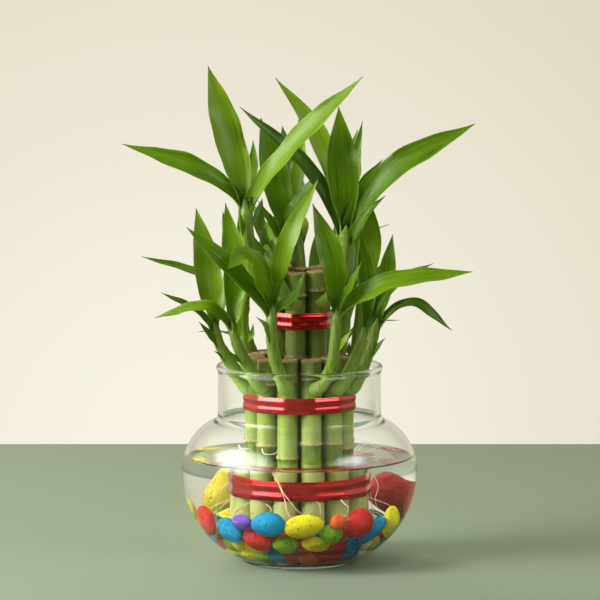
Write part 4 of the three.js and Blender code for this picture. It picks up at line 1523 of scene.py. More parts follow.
@dataclass(frozen=True)
class BackShoot:
    """A shoot behind, by the same rule as the solids.

    Its leaves fan out to both sides in turn, steeper higher up.

    Attributes:
        lean: Angle that it leans to, in degrees from the front.
        reach: How far its stem leans out.
        rise: How far its stem rises.
        leaves: Number of leaves.
        length: Length of the top leaf.
        width: Width of the top leaf.
        fan: Angle by which the lowest leaf turns from the lean.
        first: Side of the lowest leaf, -1 or 1.
        collar_drop: How far under the cane's top it grows out.
        steepness: Climb of the lowest and of the top leaf, in degrees.
    """

    lean: float
    reach: float
    rise: float
    leaves: int
    length: float
    width: float
    fan: float
    first: int
    collar_drop: float = 14
    steepness: tuple[float, float] = (24, 76)

    def plan(self, cane: Cane, seed: int) -> ShootPlan:
        """Lays the shoot out.

        Args:
            cane: The cane that it grows from.
            seed: Seed of the small differences.

        Returns:
            The stem's points and the leaves.
        """
        draws = Draws(seed)
        collar = cane.top - self.collar_drop

        def along(share: float) -> Points:
            """A point of the straight line that the stem follows."""
            out = around(CANE_RADIUS + self.reach * share, self.lean, collar + self.rise * share)
            return out + cane.centre

        stem = [along(share) for share in (0, 0.3, 0.7)]
        top = along(0.9)
        stem.append(vec(top[0], top[1], collar + self.rise))
        leaves = []
        for index in range(self.leaves):
            share = index / (self.leaves - 1)
            side = -self.first if index % 2 else self.first
            turn = self.lean + side * self.fan * (1 - 0.62 * share) * (1 + 0.4 * (draws.next() - 0.5))
            steep = math.radians(lerp(*self.steepness, share))
            size = self.length * lerp(0.5, 1, share) * (1 + 0.2 * (draws.next() - 0.5))
            at = lerp(0.5, 1, share)
            start = along(at * 0.95)
            out = around(math.cos(steep), turn, math.sin(steep))
            tip = start + out * size - vec(0, 0, size * 0.18 * (1 - share))
            face = around(-0.8 * math.sin(steep), turn, 0.5 + math.cos(steep))
            breadth = self.width * lerp(0.6, 1, share)
            leaves.append(Leaf(at, tuple(start + out * size / 2), tuple(tip), breadth, tuple(face)))
        return ShootPlan(tuple(tuple(point) for point in stem), tuple(leaves))


BACK_SHOOTS: dict[str, BackShoot] = {
    "outer_05": BackShoot(149, 14, 44, 5, 66, 12.5, 42, -1),
    "outer_06": BackShoot(166, 12, 34, 4, 48, 12, 26, -1),
    "outer_07": BackShoot(193, 13, 42, 5, 56, 12.5, 28, -1),
    "outer_08": BackShoot(240, 14, 36, 4, 58, 12, 52, 1),
    "inner_03": BackShoot(130, 12, 33, 5, 52, 15, 46, 1),
    "inner_04": BackShoot(198, 11, 40, 5, 54, 15, 32, 1),
}
SHOOT_SEEDS = {Tier.OUTER: 100, Tier.INNER: 200}
BACK_PLAN_SEED = 50


@dataclass
class Shoot:
    """A leafy shoot: a round stem wrapped in leaf bases, which open into folded, waved blades.

    The stem's top runs out as a rolled young leaf between the uppermost leaf bases.
    """

    name: str
    cane: Cane
    plan: ShootPlan
    seed: int
    radius: float = 3.4
    tip_radius: float = 2.2
    collar_swell: float = 0.3
    spear: float = 0.13
    spear_tip: float = 0.16
    root_drop: float = 3.0
    stem_sides: int = 20
    stem_rows: int = 44
    leaf_rows: int = 34
    leaf_columns: int = 11
    thickness: float = 0.42
    fold: float = 0.70
    wrap: float = 1.95
    wave: float = 0.12
    waves: float = 1.6
    ruffle: float = 0.085
    ruffles: float = 4.3
    sheath: float = 0.12
    widest: float = 0.55
    base_width: float = 0.34
    step: float = 0.07
    step_reach: float = 0.16
    skin: float = 0.10

    def stem_radius(self, shares: Any) -> Any:
        """Radius of the bare stem at shares of its length."""
        bare = lerp(self.radius, self.tip_radius, np.asarray(shares, dtype=float) ** 2)
        return bare * (1 + self.collar_swell * (1 - smoothstep(shares, 0.04, 0.24)))

    def blade_width(self, along: Points) -> Points:
        """Width of a blade, as a share of its greatest width.

        Args:
            along: Shares of its length.

        Returns:
            The width at each.
        """
        before = 1 - (1 - self.base_width) * (1 - along / self.widest) ** 2
        past = np.clip((along - self.widest) / (1 - self.widest), 0, 1)
        after = (1 - past**1.7) * (1 - 0.25 * past**2)
        return np.where(along < self.widest, before, after)

    def add_stem(self, surface: Surface, line: SmoothLine, tone: float) -> None:
        """Adds the stem, stepped in a little over each leaf base and pointed at its top.

        Args:
            surface: The shoot's surface.
            line: The stem's line.
            tone: Tone of the shoot from 0 to 1.
        """
        shares = np.linspace(0, 1, self.stem_rows)
        centre, ahead = line.at(shares)
        radius = self.stem_radius(shares)
        for leaf in self.plan.leaves:
            under = np.clip((leaf.at - shares) / self.step_reach, 0, 1)
            radius = radius * (1 + self.step * (1 - under) * (shares <= leaf.at))
        pointed = np.clip((shares - 1 + self.spear) / self.spear, 0, 1) ** 1.4
        radius = radius * lerp(1.0, self.spear_tip, pointed)
        spokes = tube_spokes(ahead, vec(0, 1, 0), self.stem_sides)
        rows = centre[:, None] + spokes * radius[:, None, None]
        rows = rows + spokes * (self.skin * Ripple(self.seed, 0.12).at(rows))[..., None]
        blade = np.broadcast_to(vec(0.5, 0.4, tone), rows.shape)
        away = np.linalg.norm((rows - self.cane.centre)[..., :2], axis=-1) - CANE_RADIUS
        under = 1 - smoothstep(rows[..., 2], centre[0, 2] - 2.5, centre[0, 2] + 1.5)
        dry = 0.95 * (1 - smoothstep(away, 0.3, 1.6)) * under
        kind = np.stack([np.ones_like(dry), np.zeros_like(dry), dry], axis=-1)
        surface.add_rows(rows, blade=blade, kind=kind)

    def add_leaf(self, surface: Surface, stem: SmoothLine, leaf: Leaf, phase: float, draws: Draws) -> None:
        """Adds a leaf: its base wraps the stem, then opens into a folded, waved blade with a drawn-out tip.

        Args:
            surface: The shoot's surface.
            stem: The stem's line.
            leaf: Where the leaf goes.
            phase: Phase of its wave.
            draws: Draws of its own tone, ripple and dryness.
        """
        (root, base), _ = stem.at([max(0.0, leaf.at - self.sheath), leaf.at])
        line = SmoothLine([root, base, vec(*leaf.through), vec(*leaf.tip)])
        inside = float(np.linalg.norm(base - root)) / line.length
        along = np.linspace(0, 1, self.leaf_rows)
        centre, ahead = line.at(along)
        facing = unit(vec(*leaf.face))
        up = unit(facing - ahead * (ahead @ facing)[:, None])
        side = np.cross(ahead, up)
        opened = smoothstep(along, 0.5 * inside, inside + 0.26)
        flat = np.maximum(leaf.width / 2 * self.blade_width(along), 0.12)
        clasp = float(self.stem_radius(leaf.at)) * 1.04
        half = lerp(clasp * self.wrap, flat, smoothstep(along, 0.3 * inside, inside + 0.18))
        roll = lerp(self.wrap, self.fold * (1 - 0.5 * along), opened)
        across = np.linspace(-1, 1, self.leaf_columns)
        angle = roll[:, None] * across
        arc = (half / roll)[:, None]
        wave = self.wave * half * np.sin(FULL_TURN * self.waves * along + phase)
        second = draws.between(0, FULL_TURN)
        ripple = self.ruffle * half * np.sin(FULL_TURN * self.ruffles * along + second) * opened
        lift = arc * (1 - np.cos(angle)) + wave[:, None] * across + ripple[:, None] * np.abs(across) ** 2.2
        lift = lift - (clasp * (1 - opened))[:, None]
        upper = centre[:, None] + side[:, None] * (arc * np.sin(angle))[..., None]
        upper = upper + up[:, None] * lift[..., None]
        outward = up[:, None] * np.cos(angle)[..., None] - side[:, None] * np.sin(angle)[..., None]
        thick = self.thickness * (1 - 0.72 * across**2) * np.minimum(1, 0.25 + 3 * (1 - along))[:, None]
        lower = upper - outward * thick[..., None]
        rows = np.concatenate([upper, lower[:, ::-1]], axis=1)
        drawn = draws.between(0.2, 0.7)
        tone = drawn if leaf.tone is None else leaf.tone
        both = np.concatenate([across, across[::-1]])
        shape = (self.leaf_rows, 2 * self.leaf_columns)
        places = [np.broadcast_to(along[:, None], shape), np.broadcast_to(both, shape)]
        blade = np.stack([*places, np.full(shape, tone)], axis=-1)
        below = np.concatenate([np.zeros(self.leaf_columns), np.ones(self.leaf_columns)])
        start = 1 - draws.between(1.2, 3.6) / line.length
        dry = np.broadcast_to(smoothstep(along, start, 1.0)[:, None] * draws.between(0.75, 1.3), shape)
        kind = np.stack([np.zeros(shape), np.broadcast_to(below, shape), dry], axis=-1)
        surface.add_rows(rows, blade=blade, kind=kind)

    def build(self, material: bpy.types.Material) -> None:
        """Makes the shoot.

        Args:
            material: Its finish.
        """
        points = [vec(*point) for point in self.plan.stem]
        root = vec(self.cane.centre[0], self.cane.centre[1], points[0][2] - self.root_drop)
        line = SmoothLine([root, *points])
        phases = Draws(self.seed)
        own = Draws(self.seed + 500)
        surface = Surface(["blade", "kind"])
        self.add_stem(surface, line, own.next())
        for leaf in self.plan.leaves:
            self.add_leaf(surface, line, leaf, phases.next() * FULL_TURN, own)
        piece = surface.make(f"leaves_{self.name}", sharp=75.0)
        dress(piece, material, Slot.LEAF.value, f"shoot_{self.name}")


@dataclass
class FoilRibbon:
    """A foil ribbon wound tight round a ring of canes, with two raised bands."""

    name: str
    ring: Ring
    height: float
    crumple: float
    folds: float
    pitch: float
    seed: int
    gap: float = 0.3
    tall: float = 8.7
    stretch: float = 0.16
    arc_steps: int = 3
    run_steps: int = 12

    def section(self) -> Points:
        """The ribbon's cross section.

        Returns:
            Points as (distance from the canes, height over its middle).
        """
        half = self.tall / 2
        ridge = [(0.62, half - 0.5), (0.66, half - 1.0), (0.95, half - 1.35), (1.08, half - 2.0)]
        groove = [(1.02, half - 2.7), (0.76, half - 3.25), (0.60, half - 3.8), (0.56, 0.0)]
        upper = [(0.0, half - 0.15), (0.42, half), *ridge, *groove]
        lower = [(distance, -height) for distance, height in reversed(upper[:-1])]
        return np.array(upper + lower)

    def outline(self, distance: float) -> Points:
        """The line round the canes.

        Args:
            distance: Its distance from them.

        Returns:
            The points of the line.
        """
        half_step = 360 / self.ring.count / 2
        radius = CANE_RADIUS + self.gap + distance
        turn = np.linspace(-half_step, half_step, self.arc_steps + 1)
        arcs = []
        for middle, centre in zip(self.ring.angles(), self.ring.centres()):
            arcs.append(np.array([centre + around(radius, middle + angle, 0) for angle in turn]))
        line = []
        for index, arc in enumerate(arcs):
            beyond = arcs[(index + 1) % len(arcs)][0]
            share = np.linspace(0, 1, self.run_steps + 1)[1:-1, None]
            line.append(arc)
            line.append(arc[-1] + (beyond - arc[-1]) * share)
        return np.vstack(line)

    def build(self) -> None:
        """Makes the ribbon."""
        section = self.section()
        rows = np.stack([self.outline(distance) for distance, _ in section])
        rows[..., 2] = self.height + section[:, 1][:, None]
        outward = unit(rows * vec(1, 1, 0))
        stretched = rows * vec(self.stretch, self.stretch, 1)
        crease = Ripple(self.seed, 0.30).at(stretched) + 0.6 * Ripple(self.seed + 1, 0.55).at(stretched)
        free = np.minimum(1.0, section[:, 0] / 0.4)[:, None]
        rows = rows + outward * (self.crumple * crease * free)[..., None]
        rows[..., 2] += 0.5 * self.crumple * Ripple(self.seed + 2, 0.12).at(rows)
        surface = Surface()
        surface.add_rows(rows, looped=True)
        piece = surface.make(f"foil_{self.name}", sharp=38.0)
        material = FoilFinish(self.folds, self.pitch).material()
        dress(piece, material, Slot.FOIL.value, f"ribbon_{self.name}")


@dataclass(frozen=True)
class Pebble:
    """A rounded, slightly lumpy stone.

    Attributes:
        centre: Its middle.
        size: Its length, breadth and thickness.
        heading: Turn about the bowl's axis, in degrees.
        tilt: Tilt of its length, in degrees.
        seed: Seed of its lumps.
        grain: Times that its faces are divided.
    """

    centre: Points
    size: Vec
    heading: float
    tilt: float
    seed: int
    grain: int

    def shape(self, bowl: GlassBowl, clear: float) -> tuple[Points, Points]:
        """Points and triangles of the stone, pressed flat where it would meet the glass.

        Args:
            bowl: The bowl that it lies in.
            clear: Distance that it keeps from the glass.

        Returns:
            The points and the triangles.
        """
        ball = bmesh.new()
        bmesh.ops.create_icosphere(ball, subdivisions=self.grain, radius=1.0)
        ways = np.array([vertex.co[:] for vertex in ball.verts])
        triangles = np.array([[vertex.index for vertex in face.verts] for face in ball.faces])
        ball.free()
        draws = Draws(self.seed)
        phases = [draws.next() * FULL_TURN for _ in range(3)]
        swell = 1 + 0.05 * np.sin(2.1 * ways[:, 0] + phases[0]) + 0.05 * np.sin(2.7 * ways[:, 1] + phases[1])
        swell = swell + 0.03 * np.sin(3 * ways[:, 2] + phases[2])
        dents = Ripple(self.seed + 900, 0.55).at(ways) * 0.035 + Ripple(self.seed + 901, 1.6).at(ways) * 0.010
        points = ways * (swell + dents)[:, None] * (np.array(self.size) / 2)
        lean = np.array(Matrix.Rotation(math.radians(self.tilt), 3, "Y"))
        turn = np.array(Matrix.Rotation(math.radians(self.heading), 3, "Z"))
        points = points @ (turn @ lean).T + self.centre
        radius = np.linalg.norm(points[:, :2], axis=1)
        room = bowl.inside_radius(points[:, 2]) - clear
        points[:, :2] *= np.minimum(1.0, room / radius)[:, None]
        points[:, 2] = np.maximum(points[:, 2], bowl.floor_height + clear)
        return points, triangles


@dataclass(frozen=True)
class SeenPebble:
    """A pebble in sight through the glass: its dye, angle, height, three diameters and tilt."""

    dye: Dye
    angle: float
    height: float
    size: Vec
    tilt: float = 0.0


SEEN_PEBBLES: dict[str, SeenPebble] = {
    "red_left": SeenPebble(Dye.RED, -71, 27, (17, 11, 16), 10),
    "blue_left": SeenPebble(Dye.BLUE, -47.5, 23.3, (17, 10, 12), 24),
    "purple_left": SeenPebble(Dye.PURPLE, -36, 29.3, (10.5, 10.5, 8.6)),
    "blue_front": SeenPebble(Dye.BLUE, -19, 28.8, (19, 11, 14.5)),
    "red_front": SeenPebble(Dye.RED, -28, 19.3, (17.5, 10, 10.8), 22),
    "green_front": SeenPebble(Dye.GREEN, -9, 17.5, (13, 9, 10.5)),
    "yellow_front": SeenPebble(Dye.YELLOW, 3, 28, (19.5, 11, 13), -10),
    "yellow_low": SeenPebble(Dye.YELLOW, 10.5, 18, (15, 9, 9), 8),
    "green_right": SeenPebble(Dye.GREEN, 20, 23, (12.5, 10, 12)),
    "red_right": SeenPebble(Dye.RED, 38, 28, (17, 12, 16.5), -30),
    "orange_right": SeenPebble(Dye.ORANGE, 22.5, 30.2, (9, 8, 8)),
    "blue_right": SeenPebble(Dye.BLUE, 51, 23.7, (21, 9, 10), -38),
    "yellow_right": SeenPebble(Dye.YELLOW, 69.5, 26, (13, 10.5, 17.5), -24),
    "red_back": SeenPebble(Dye.RED, 104, 33, (19, 12, 15)),
    "teal_back": SeenPebble(Dye.TEAL, 92, 21, (14, 10, 9)),
    "yellow_back": SeenPebble(Dye.YELLOW, -98, 31, (17, 11, 13)),
    "red_high": SeenPebble(Dye.RED, 141, 35.2, (21, 12, 10.5)),
    # Yellow with painted shade and haze, for this stone in shadow behind the water
    "yellow_high": SeenPebble(Dye.STRAW, -150.5, 34.7, (14, 11.5, 11)),
}


@dataclass(frozen=True)
class StoneRow:
    """A row of packed stones.

    Attributes:
        start: First angle, in degrees from the front.
        end: Last angle.
        count: Number of stones.
        radius: Distance from the axis, or a negative distance from the glass.
        height: Height of the stones' middles.
        size: Their usual length, breadth and thickness.
        dyes: Dyes to begin with, in order; the rest are drawn.
    """

    start: float
    end: float
    count: int
    radius: float
    height: float
    size: Vec
    dyes: tuple[Dye, ...] = ()


@dataclass
class PebbleBed:
    """The pebbles: one piece for each that shows, and one for all those packed behind and under."""

    bowl: GlassBowl
    clearance: float = 1.2
    first_seed: int = 300
    packed_seed: int = 4100
    stray: tuple[float, float] = (1.6, 0.7)
    growth: tuple[float, float] = (0.9, 1.12)
    lean: float = 24
    seen_gap: float = 0.3
    packed_gap: float = 0.35
    seen_grain: int = 5
    packed_grain: int = 4
    rows: tuple[StoneRow, ...] = (
        StoneRow(-70, 70, 12, 35.4, 10.2, (11.0, 6.8, 7.4), (
            Dye.YELLOW, Dye.GREEN, Dye.YELLOW, Dye.GREEN, Dye.BLUE, Dye.RED, Dye.ORANGE, Dye.RED,
            Dye.RED, Dye.BLUE, Dye.CREAM, Dye.YELLOW,
        )),
        StoneRow(84, 276, 17, 35.4, 10.2, (11.0, 6.8, 7.6)),
        StoneRow(-90, 70, 13, 37.0, 17.0, (10.5, 8.4, 8.8), (
            Dye.BLUE, Dye.RED, Dye.GREEN, Dye.YELLOW, Dye.YELLOW, Dye.BLUE, Dye.GREEN, Dye.RED, Dye.RED,
            Dye.RED, Dye.BLUE, Dye.CREAM, Dye.YELLOW,
        )),
        StoneRow(-84, 84, 14, 36.6, 24.4, (10.0, 8.2, 8.0), (Dye.YELLOW, Dye.GREEN, Dye.CREAM)),
        StoneRow(114, 248, 9, -6.4, 15.5, (14.0, 9.5, 10.5)),
        StoneRow(106, 256, 11, 37.5, 18.5, (11.5, 9.0, 9.5)),
        StoneRow(118, 244, 9, -6.0, 24.5, (15.0, 10.0, 10.5), (
            Dye.YELLOW, Dye.TEAL, Dye.BLUE, Dye.TEAL, Dye.CREAM, Dye.BLUE, Dye.GREEN, Dye.YELLOW, Dye.GREEN,
        )),
        StoneRow(104, 258, 11, 37.0, 25.5, (11.5, 9.5, 9.0)),
    )

    def build_seen(self) -> None:
        """Makes the pebbles in sight, one piece each."""
        finishes = {dye: PebbleFinish(dye).material() for dye in Dye if dye is not Dye.CREAM}
        for index, (name, seen) in enumerate(SEEN_PEBBLES.items()):
            radius = float(self.bowl.inside_radius(seen.height)) - seen.size[1] / 2 - self.clearance
            centre = around(radius, seen.angle, seen.height)
            seed = self.first_seed + index
            stone = Pebble(centre, seen.size, seen.angle, seen.tilt, seed, self.seen_grain)
            surface = Surface()
            surface.add_body(*stone.shape(self.bowl, self.seen_gap))
            piece = surface.make(f"stone_{name}", sharp=80.0)
            dress(piece, finishes[seen.dye], seen.dye.slot, f"pebble_{name}")

    def build_packed(self) -> None:
        """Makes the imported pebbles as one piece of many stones."""
        draws = Draws(self.packed_seed)
        surface = Surface(["stone"])
        dyes = list(Dye)
        # The packed stones never take the yellow with painted shade
        common = [dye for dye in Dye if dye is not Dye.STRAW]
        aside, upward = self.stray
        for row in self.rows:
            for index in range(row.count):
                angle = lerp(row.start, row.end, index / (row.count - 1)) + draws.between(-aside, aside)
                height = row.height + draws.between(-upward, upward)
                radius = row.radius if row.radius > 0 else float(self.bowl.inside_radius(height)) + row.radius
                drawn = common[int(draws.next() * len(common))]
                dye = row.dyes[index] if index < len(row.dyes) else drawn
                size = tuple(side * draws.between(*self.growth) for side in row.size)
                tilt = draws.between(-self.lean, self.lean)
                seed = self.packed_seed + surface.count
                centre = around(radius, angle, height)
                stone = Pebble(centre, size, angle, tilt, seed, self.packed_grain)
                points, triangles = stone.shape(self.bowl, self.packed_gap)
                choice = (dyes.index(dye) + 0.5) / len(dyes)
                surface.add_body(points, triangles, stone=vec(choice, 0, 0))
        piece = surface.make("stones_packed", sharp=80.0)
        dress(piece, PebbleFinish(None).material(), Slot.BED.value, "pebble_bed")


@dataclass(frozen=True)
class Strand:
    """One root: the points that it passes through, its thickness and how young it is from 0 to 1."""

    points: tuple[Vec, ...]
    thickness: float = 0.5
    youth: float = 0.3


@dataclass
class Roots:
    """Fine roots in the water: some listed where the front shows them, the rest by rule from every outer
    cane.
    """

    bowl: GlassBowl
    seed: int = 7700
    sides: int = 6
    least_rows: int = 10
    row_step: float = 1.1
    bends: float = 0.7
    thinning: float = 0.55
    bare_flank: tuple[float, float] = (40, 140)
    strands: tuple[Strand, ...] = (
        Strand(((-13, -29.5, 52), (-9, -34, 46), (-5, -37, 40), (1, -38, 34), (7, -41, 30)), 0.55, 0.1),
        Strand(((-11, -30, 50), (-8, -34.5, 43), (-6, -36.5, 36), (-3, -37, 30)), 0.4, 0.35),
        Strand(((-16, -31, 38), (-14, -36, 36), (-17, -39, 32), (-20, -40, 28)), 0.45, 0.2),
        Strand(((-10, -31, 38), (-13, -36, 37), (-12, -39, 33), (-10, -40, 30)), 0.4, 0.3),
        Strand(((-27, -26, 37), (-31, -29, 34), (-36, -28, 31), (-41, -26, 27)), 0.45, 0.2),
        Strand(((-27, -25, 34), (-31, -31, 32), (-28, -35, 28)), 0.4, 0.4),
        Strand(((-33, -14, 52), (-42, -14, 46), (-46, -16, 38), (-45, -18, 30)), 0.45, 0.1),
        Strand(((20, -30, 40), (24, -35, 36), (22, -38, 31)), 0.4, 0.5),
        Strand(((33, -12, 50), (37, -16, 45), (36, -20, 39), (38, -22, 33)), 0.4, 0.4),
        Strand(
            ((28, 10, 57), (33, 26, 57.6), (37, 38, 60.0), (42, 32, 58.2), (48, 29, 60.4), (53, 20, 57.6)),
            0.5,
            1.0,
        ),
        Strand(
            ((27, 12, 57), (31, 30, 57.6), (37, 41, 61.0), (42, 37, 58.4), (46, 33, 61.0), (45, 28, 57.8)),
            0.45,
            1.0,
        ),
        Strand(((29, 8, 57), (38, 20, 57.6), (46, 24, 59.8), (51, 22, 58.0), (56, 12, 59.4)), 0.45, 0.9),
        Strand(((-29, 6, 58), (-35, 8, 59.5), (-40, 4, 58.6), (-46, 6, 57.2)), 0.45, 0.9),
        Strand(((-20, -25.5, 65), (-19, -30.6, 63.6), (-12.5, -30.4, 63.4), (-12, -31.4, 65.2)), 0.5, 0.8),
        Strand(((-32.5, -12, 65.5), (-31.5, -17.5, 64), (-27, -21.5, 64.6), (-25.5, -23.3, 64.2)), 0.5, 0.8),
    )

    def add(self, surface: Surface, strand: Strand, seed: int) -> None:
        """Adds one root, thinner towards its tip.

        Args:
            surface: The roots' surface.
            strand: The root.
            seed: Seed of its small bends.
        """
        line = SmoothLine([vec(*point) for point in strand.points])
        rows = max(self.least_rows, int(line.length / self.row_step))
        shares = np.linspace(0, 1, rows)
        centre, ahead = line.at(shares)
        wander = np.stack([Ripple(seed + k, 0.14).at(centre) for k in range(3)], axis=1)
        centre = centre + wander * self.bends * np.sin(math.pi * np.clip(shares * 1.2, 0, 1))[:, None]
        spokes = tube_spokes(ahead, vec(0.3, 0.2, 1.0), self.sides)
        radius = strand.thickness / 2 * (1 - self.thinning * shares)
        strand_paint = np.broadcast_to(vec(strand.youth, 0, 0), (rows, self.sides, 3))
        surface.add_rows(centre[:, None] + spokes * radius[:, None, None], strand=strand_paint)

    def drawn(self, draws: Draws, centre: Points, angle: float) -> Strand:
        """A root drawn by rule: out of a cane's side under the water and down among the pebbles.

        Args:
            draws: The draws.
            centre: Centre of the cane.
            angle: The cane's angle from the front.

        Returns:
            The root.
        """
        start = draws.between(30, 42)
        swing = draws.between(-14, 14)
        first = centre + around(CANE_RADIUS - 0.4, angle + swing, start)
        second = around(36 + draws.between(0, 4), angle + swing * 0.8, start - draws.between(1, 5))
        third = around(38 + draws.between(0, 4), angle + swing * 1.3, start - draws.between(7, 11))
        fourth = around(36 + draws.between(0, 3), angle + swing * 1.8, 21 + draws.between(-2, 3))
        points = tuple(tuple(point) for point in (first, second, third, fourth))
        return Strand(points, draws.between(0.32, 0.55), 0.6 * draws.next())

    def build(self) -> None:
        """Makes the roots as one piece."""
        surface = Surface(["strand"])
        for index, strand in enumerate(self.strands):
            self.add(surface, strand, self.seed + 10 * index)
        draws = Draws(self.seed)
        for index, (angle, centre) in enumerate(zip(OUTER_RING.angles(), OUTER_RING.centres())):
            fewer = self.bare_flank[0] < angle < self.bare_flank[1]
            for extra in range(1 if fewer else 2):
                self.add(surface, self.drawn(draws, centre, angle), self.seed + 1000 + 10 * index + extra)
        piece = surface.make("water_roots", sharp=80.0)
        dress(piece, RootFinish().material(), Slot.CANE.value)


@dataclass(frozen=True)
class Softbox:
    """A soft oval lamp that fades towards its edge.

    Attributes:
        name: Its name.
        angle: Angle from the front in degrees, growing towards +X.
        climb: How high it stands over the object, in degrees.
        distance: Its distance from the object in metres.
        size: Its width and height in metres.
        power: Its power in watts.
        tint: Its colour.
        lights: What it is for.
        aim: The height in metres that it faces.
    """

    name: str
    angle: float
    climb: float
    distance: float
    size: tuple[float, float]
    power: float
    tint: Vec = (1.0, 0.98, 0.94)
    lights: Lights = Lights.BODIES
    aim: float = 0.06

    def add(self) -> None:
        """Adds the lamp to the scene."""
        lamp = bpy.data.lights.new(self.name, "AREA")
        lamp.shape = "ELLIPSE"
        lamp.size, lamp.size_y = self.size
        lamp.energy = self.power
        lamp.color = self.tint
        lamp.use_nodes = True
        nodes = Nodes(lamp.node_tree)
        spot = nodes.node("NewGeometry").outputs["Parametric"]
        away = nodes.distance(nodes.scaled(spot, (1.0, 1.0, 0.0)), (0.5, 0.5, 0.0))
        glow = nodes.wired("Emission", 0, {"Strength": nodes.rise(away, 0.50, 0.02)})
        nodes.feed(nodes.node("OutputLight").inputs["Surface"], glow)
        level = self.distance * math.cos(math.radians(self.climb))
        place = around(level, self.angle, self.aim + self.distance * math.sin(math.radians(self.climb)))
        holder = show(self.name, lamp)
        holder.location = place
        holder.rotation_euler = Vector(vec(0, 0, self.aim) - place).to_track_quat("-Z", "Y").to_euler()
        holder.visible_diffuse = self.lights is Lights.BODIES
        holder.visible_glossy = self.lights is Lights.MIRRORS
        holder.visible_transmission = self.lights is Lights.MIRRORS


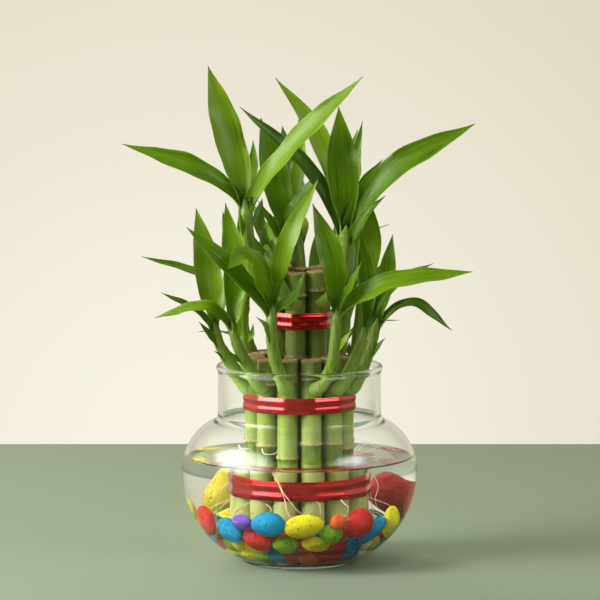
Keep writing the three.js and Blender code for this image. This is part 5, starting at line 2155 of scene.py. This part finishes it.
@dataclass
class Studio:
    """The camera at the photograph's angle, a plain pale floor, a pale backdrop and soft lamps."""

    camera_place: Vec = (0.0003, -2.38457, 0.41419)
    camera_pitch: float = 83.5
    lens: float = 266.64
    sensor: float = 36.0
    floor_half_width: float = 2.2
    floor_front: float = -1.6
    floor_back: float = 0.435
    floor_colour: Vec = (0.280, 0.348, 0.246)
    room_front: Vec = (0.110, 0.102, 0.075)
    room_side: Vec = (0.290, 0.268, 0.165)
    mirrored_side: Vec = (0.800, 0.780, 0.700)
    wall: Vec = (0.690, 0.650, 0.505)
    wall_middle: Vec = (0.940, 0.900, 0.770)
    wall_spot: Vec = (-0.026, 0.99, -0.150)
    lamps: tuple[Softbox, ...] = (
        Softbox("window", -69, 31, 1.25, (1.15, 0.85), 54.0, (1.0, 0.995, 0.975), Lights.BODIES),
        Softbox("window_shine", -67, 31, 1.20, (1.80, 1.15), 150.0, (1.0, 1.0, 1.0), Lights.MIRRORS),
        Softbox("second_shine", 59, 34, 1.20, (0.95, 0.60), 24.0, (1.0, 1.0, 1.0), Lights.MIRRORS),
        Softbox("second_window", 59, 35, 1.25, (0.90, 0.42), 8.0, (1.0, 0.98, 0.92), Lights.BODIES),
        Softbox("overhead", 20, 80, 1.35, (0.9, 0.9), 3.0, (1.0, 0.98, 0.90), Lights.BODIES),
        Softbox("back_light", 207, 38, 1.40, (0.9, 0.9), 17.0, (1.0, 0.96, 0.84), Lights.BODIES),
    )

    def add_camera(self) -> None:
        """Adds the camera."""
        lens = bpy.data.cameras.new("camera")
        lens.lens = self.lens
        lens.sensor_width = self.sensor
        lens.clip_end = 20.0
        camera = show("camera", lens)
        camera.location = self.camera_place
        camera.rotation_euler = (math.radians(self.camera_pitch), 0.0, 0.0)
        bpy.context.scene.camera = camera

    def add_floor(self) -> None:
        """Adds the floor."""
        mesh = bpy.data.meshes.new("floor")
        wide, front, back = self.floor_half_width, self.floor_front, self.floor_back
        outline = [(-wide, front, 0), (wide, front, 0), (wide, back, 0), (-wide, back, 0)]
        mesh.from_pydata(outline, [], [(0, 1, 2, 3)])
        floor = show("floor", mesh)
        shader = Shader("floor_finish")
        cloud = shader.noise(shader.place(), 1.5, 2.0)
        tint = tuple(0.95 * part for part in self.floor_colour)
        colour = shader.mix(cloud, self.floor_colour, tint)
        lit = shader.principled(base_color=colour, roughness=0.7, specular_ior_level=0.08)
        mesh.materials.append(shader.finish(lit))
        floor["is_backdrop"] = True

    def add_room(self) -> None:
        """Adds the pale surroundings: dim in front, brightest low behind, paler in glass at the sides."""
        world = bpy.data.worlds.new("surroundings")
        world.use_nodes = True
        nodes = Nodes(world.node_tree)
        way = nodes.node("TexCoord").outputs["Generated"]
        _, depth, _ = nodes.split(way)
        diffuse = nodes.node("LightPath").outputs["Is Diffuse Ray"]
        side = nodes.mix(diffuse, self.mirrored_side, self.room_side)
        colour = nodes.layered(
            self.room_front,
            (nodes.rise(depth, -0.85, 0.05), side),
            (nodes.rise(depth, 0.45, 0.97), self.wall),
            (nodes.rise(nodes.distance(way, self.wall_spot), 0.19, 0.0), self.wall_middle),
        )
        back = nodes.wired("Background", 0, {"Color": colour})
        nodes.feed(nodes.node("OutputWorld").inputs["Surface"], back)
        bpy.context.scene.world = world

    def build(self) -> None:
        """Sets the studio up."""
        self.add_camera()
        self.add_floor()
        self.add_room()
        for lamp in self.lamps:
            lamp.add()
        bpy.context.scene.view_settings.view_transform = "Standard"


@dataclass
class LuckyBamboo:
    """The whole object."""

    bowl: GlassBowl = field(default_factory=GlassBowl)
    ribbon_heights: tuple[float, float, float] = (43.5, 88.5, 132.5)

    def build_plant(self) -> None:
        """Makes the canes and their shoots."""
        rind = CaneFinish().material()
        leaf = LeafFinish().material()
        for ring in RINGS:
            for index, cane in enumerate(Cane.ring(ring)):
                cane.build(rind)
                seed = SHOOT_SEEDS[ring.tier] + index
                plan = FRONT_SHOOTS.get(cane.name)
                if plan is None:
                    plan = BACK_SHOOTS[cane.name].plan(cane, seed + BACK_PLAN_SEED)
                Shoot(cane.name, cane, plan, seed, *STEM_RADII[ring.tier]).build(leaf)

    def build(self) -> None:
        """Makes every piece."""
        self.bowl.build()
        Water(self.bowl).build()
        self.build_plant()
        lower, middle, upper = self.ribbon_heights
        FoilRibbon("lower", OUTER_RING, lower, 0.03, 0.05, 1.3, 61).build()
        FoilRibbon("middle", OUTER_RING, middle, 0.03, 0.04, 1.3, 71).build()
        FoilRibbon("upper", INNER_RING, upper, 0.10, 0.16, 0.8, 81).build()
        bed = PebbleBed(self.bowl)
        bed.build_seen()
        bed.build_packed()
        Roots(self.bowl).build()


def corners() -> list[list[float]]:
    """The lowest and highest corner of everything shown, as plain lists."""
    return [[float(value) for value in corner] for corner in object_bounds()]


def main() -> None:
    """Dresses the object."""
    logging.basicConfig(level=logging.INFO, format="%(message)s")
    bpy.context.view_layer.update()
    Studio().build()
    LuckyBamboo().build()


if __name__ == "__main__":
    main()
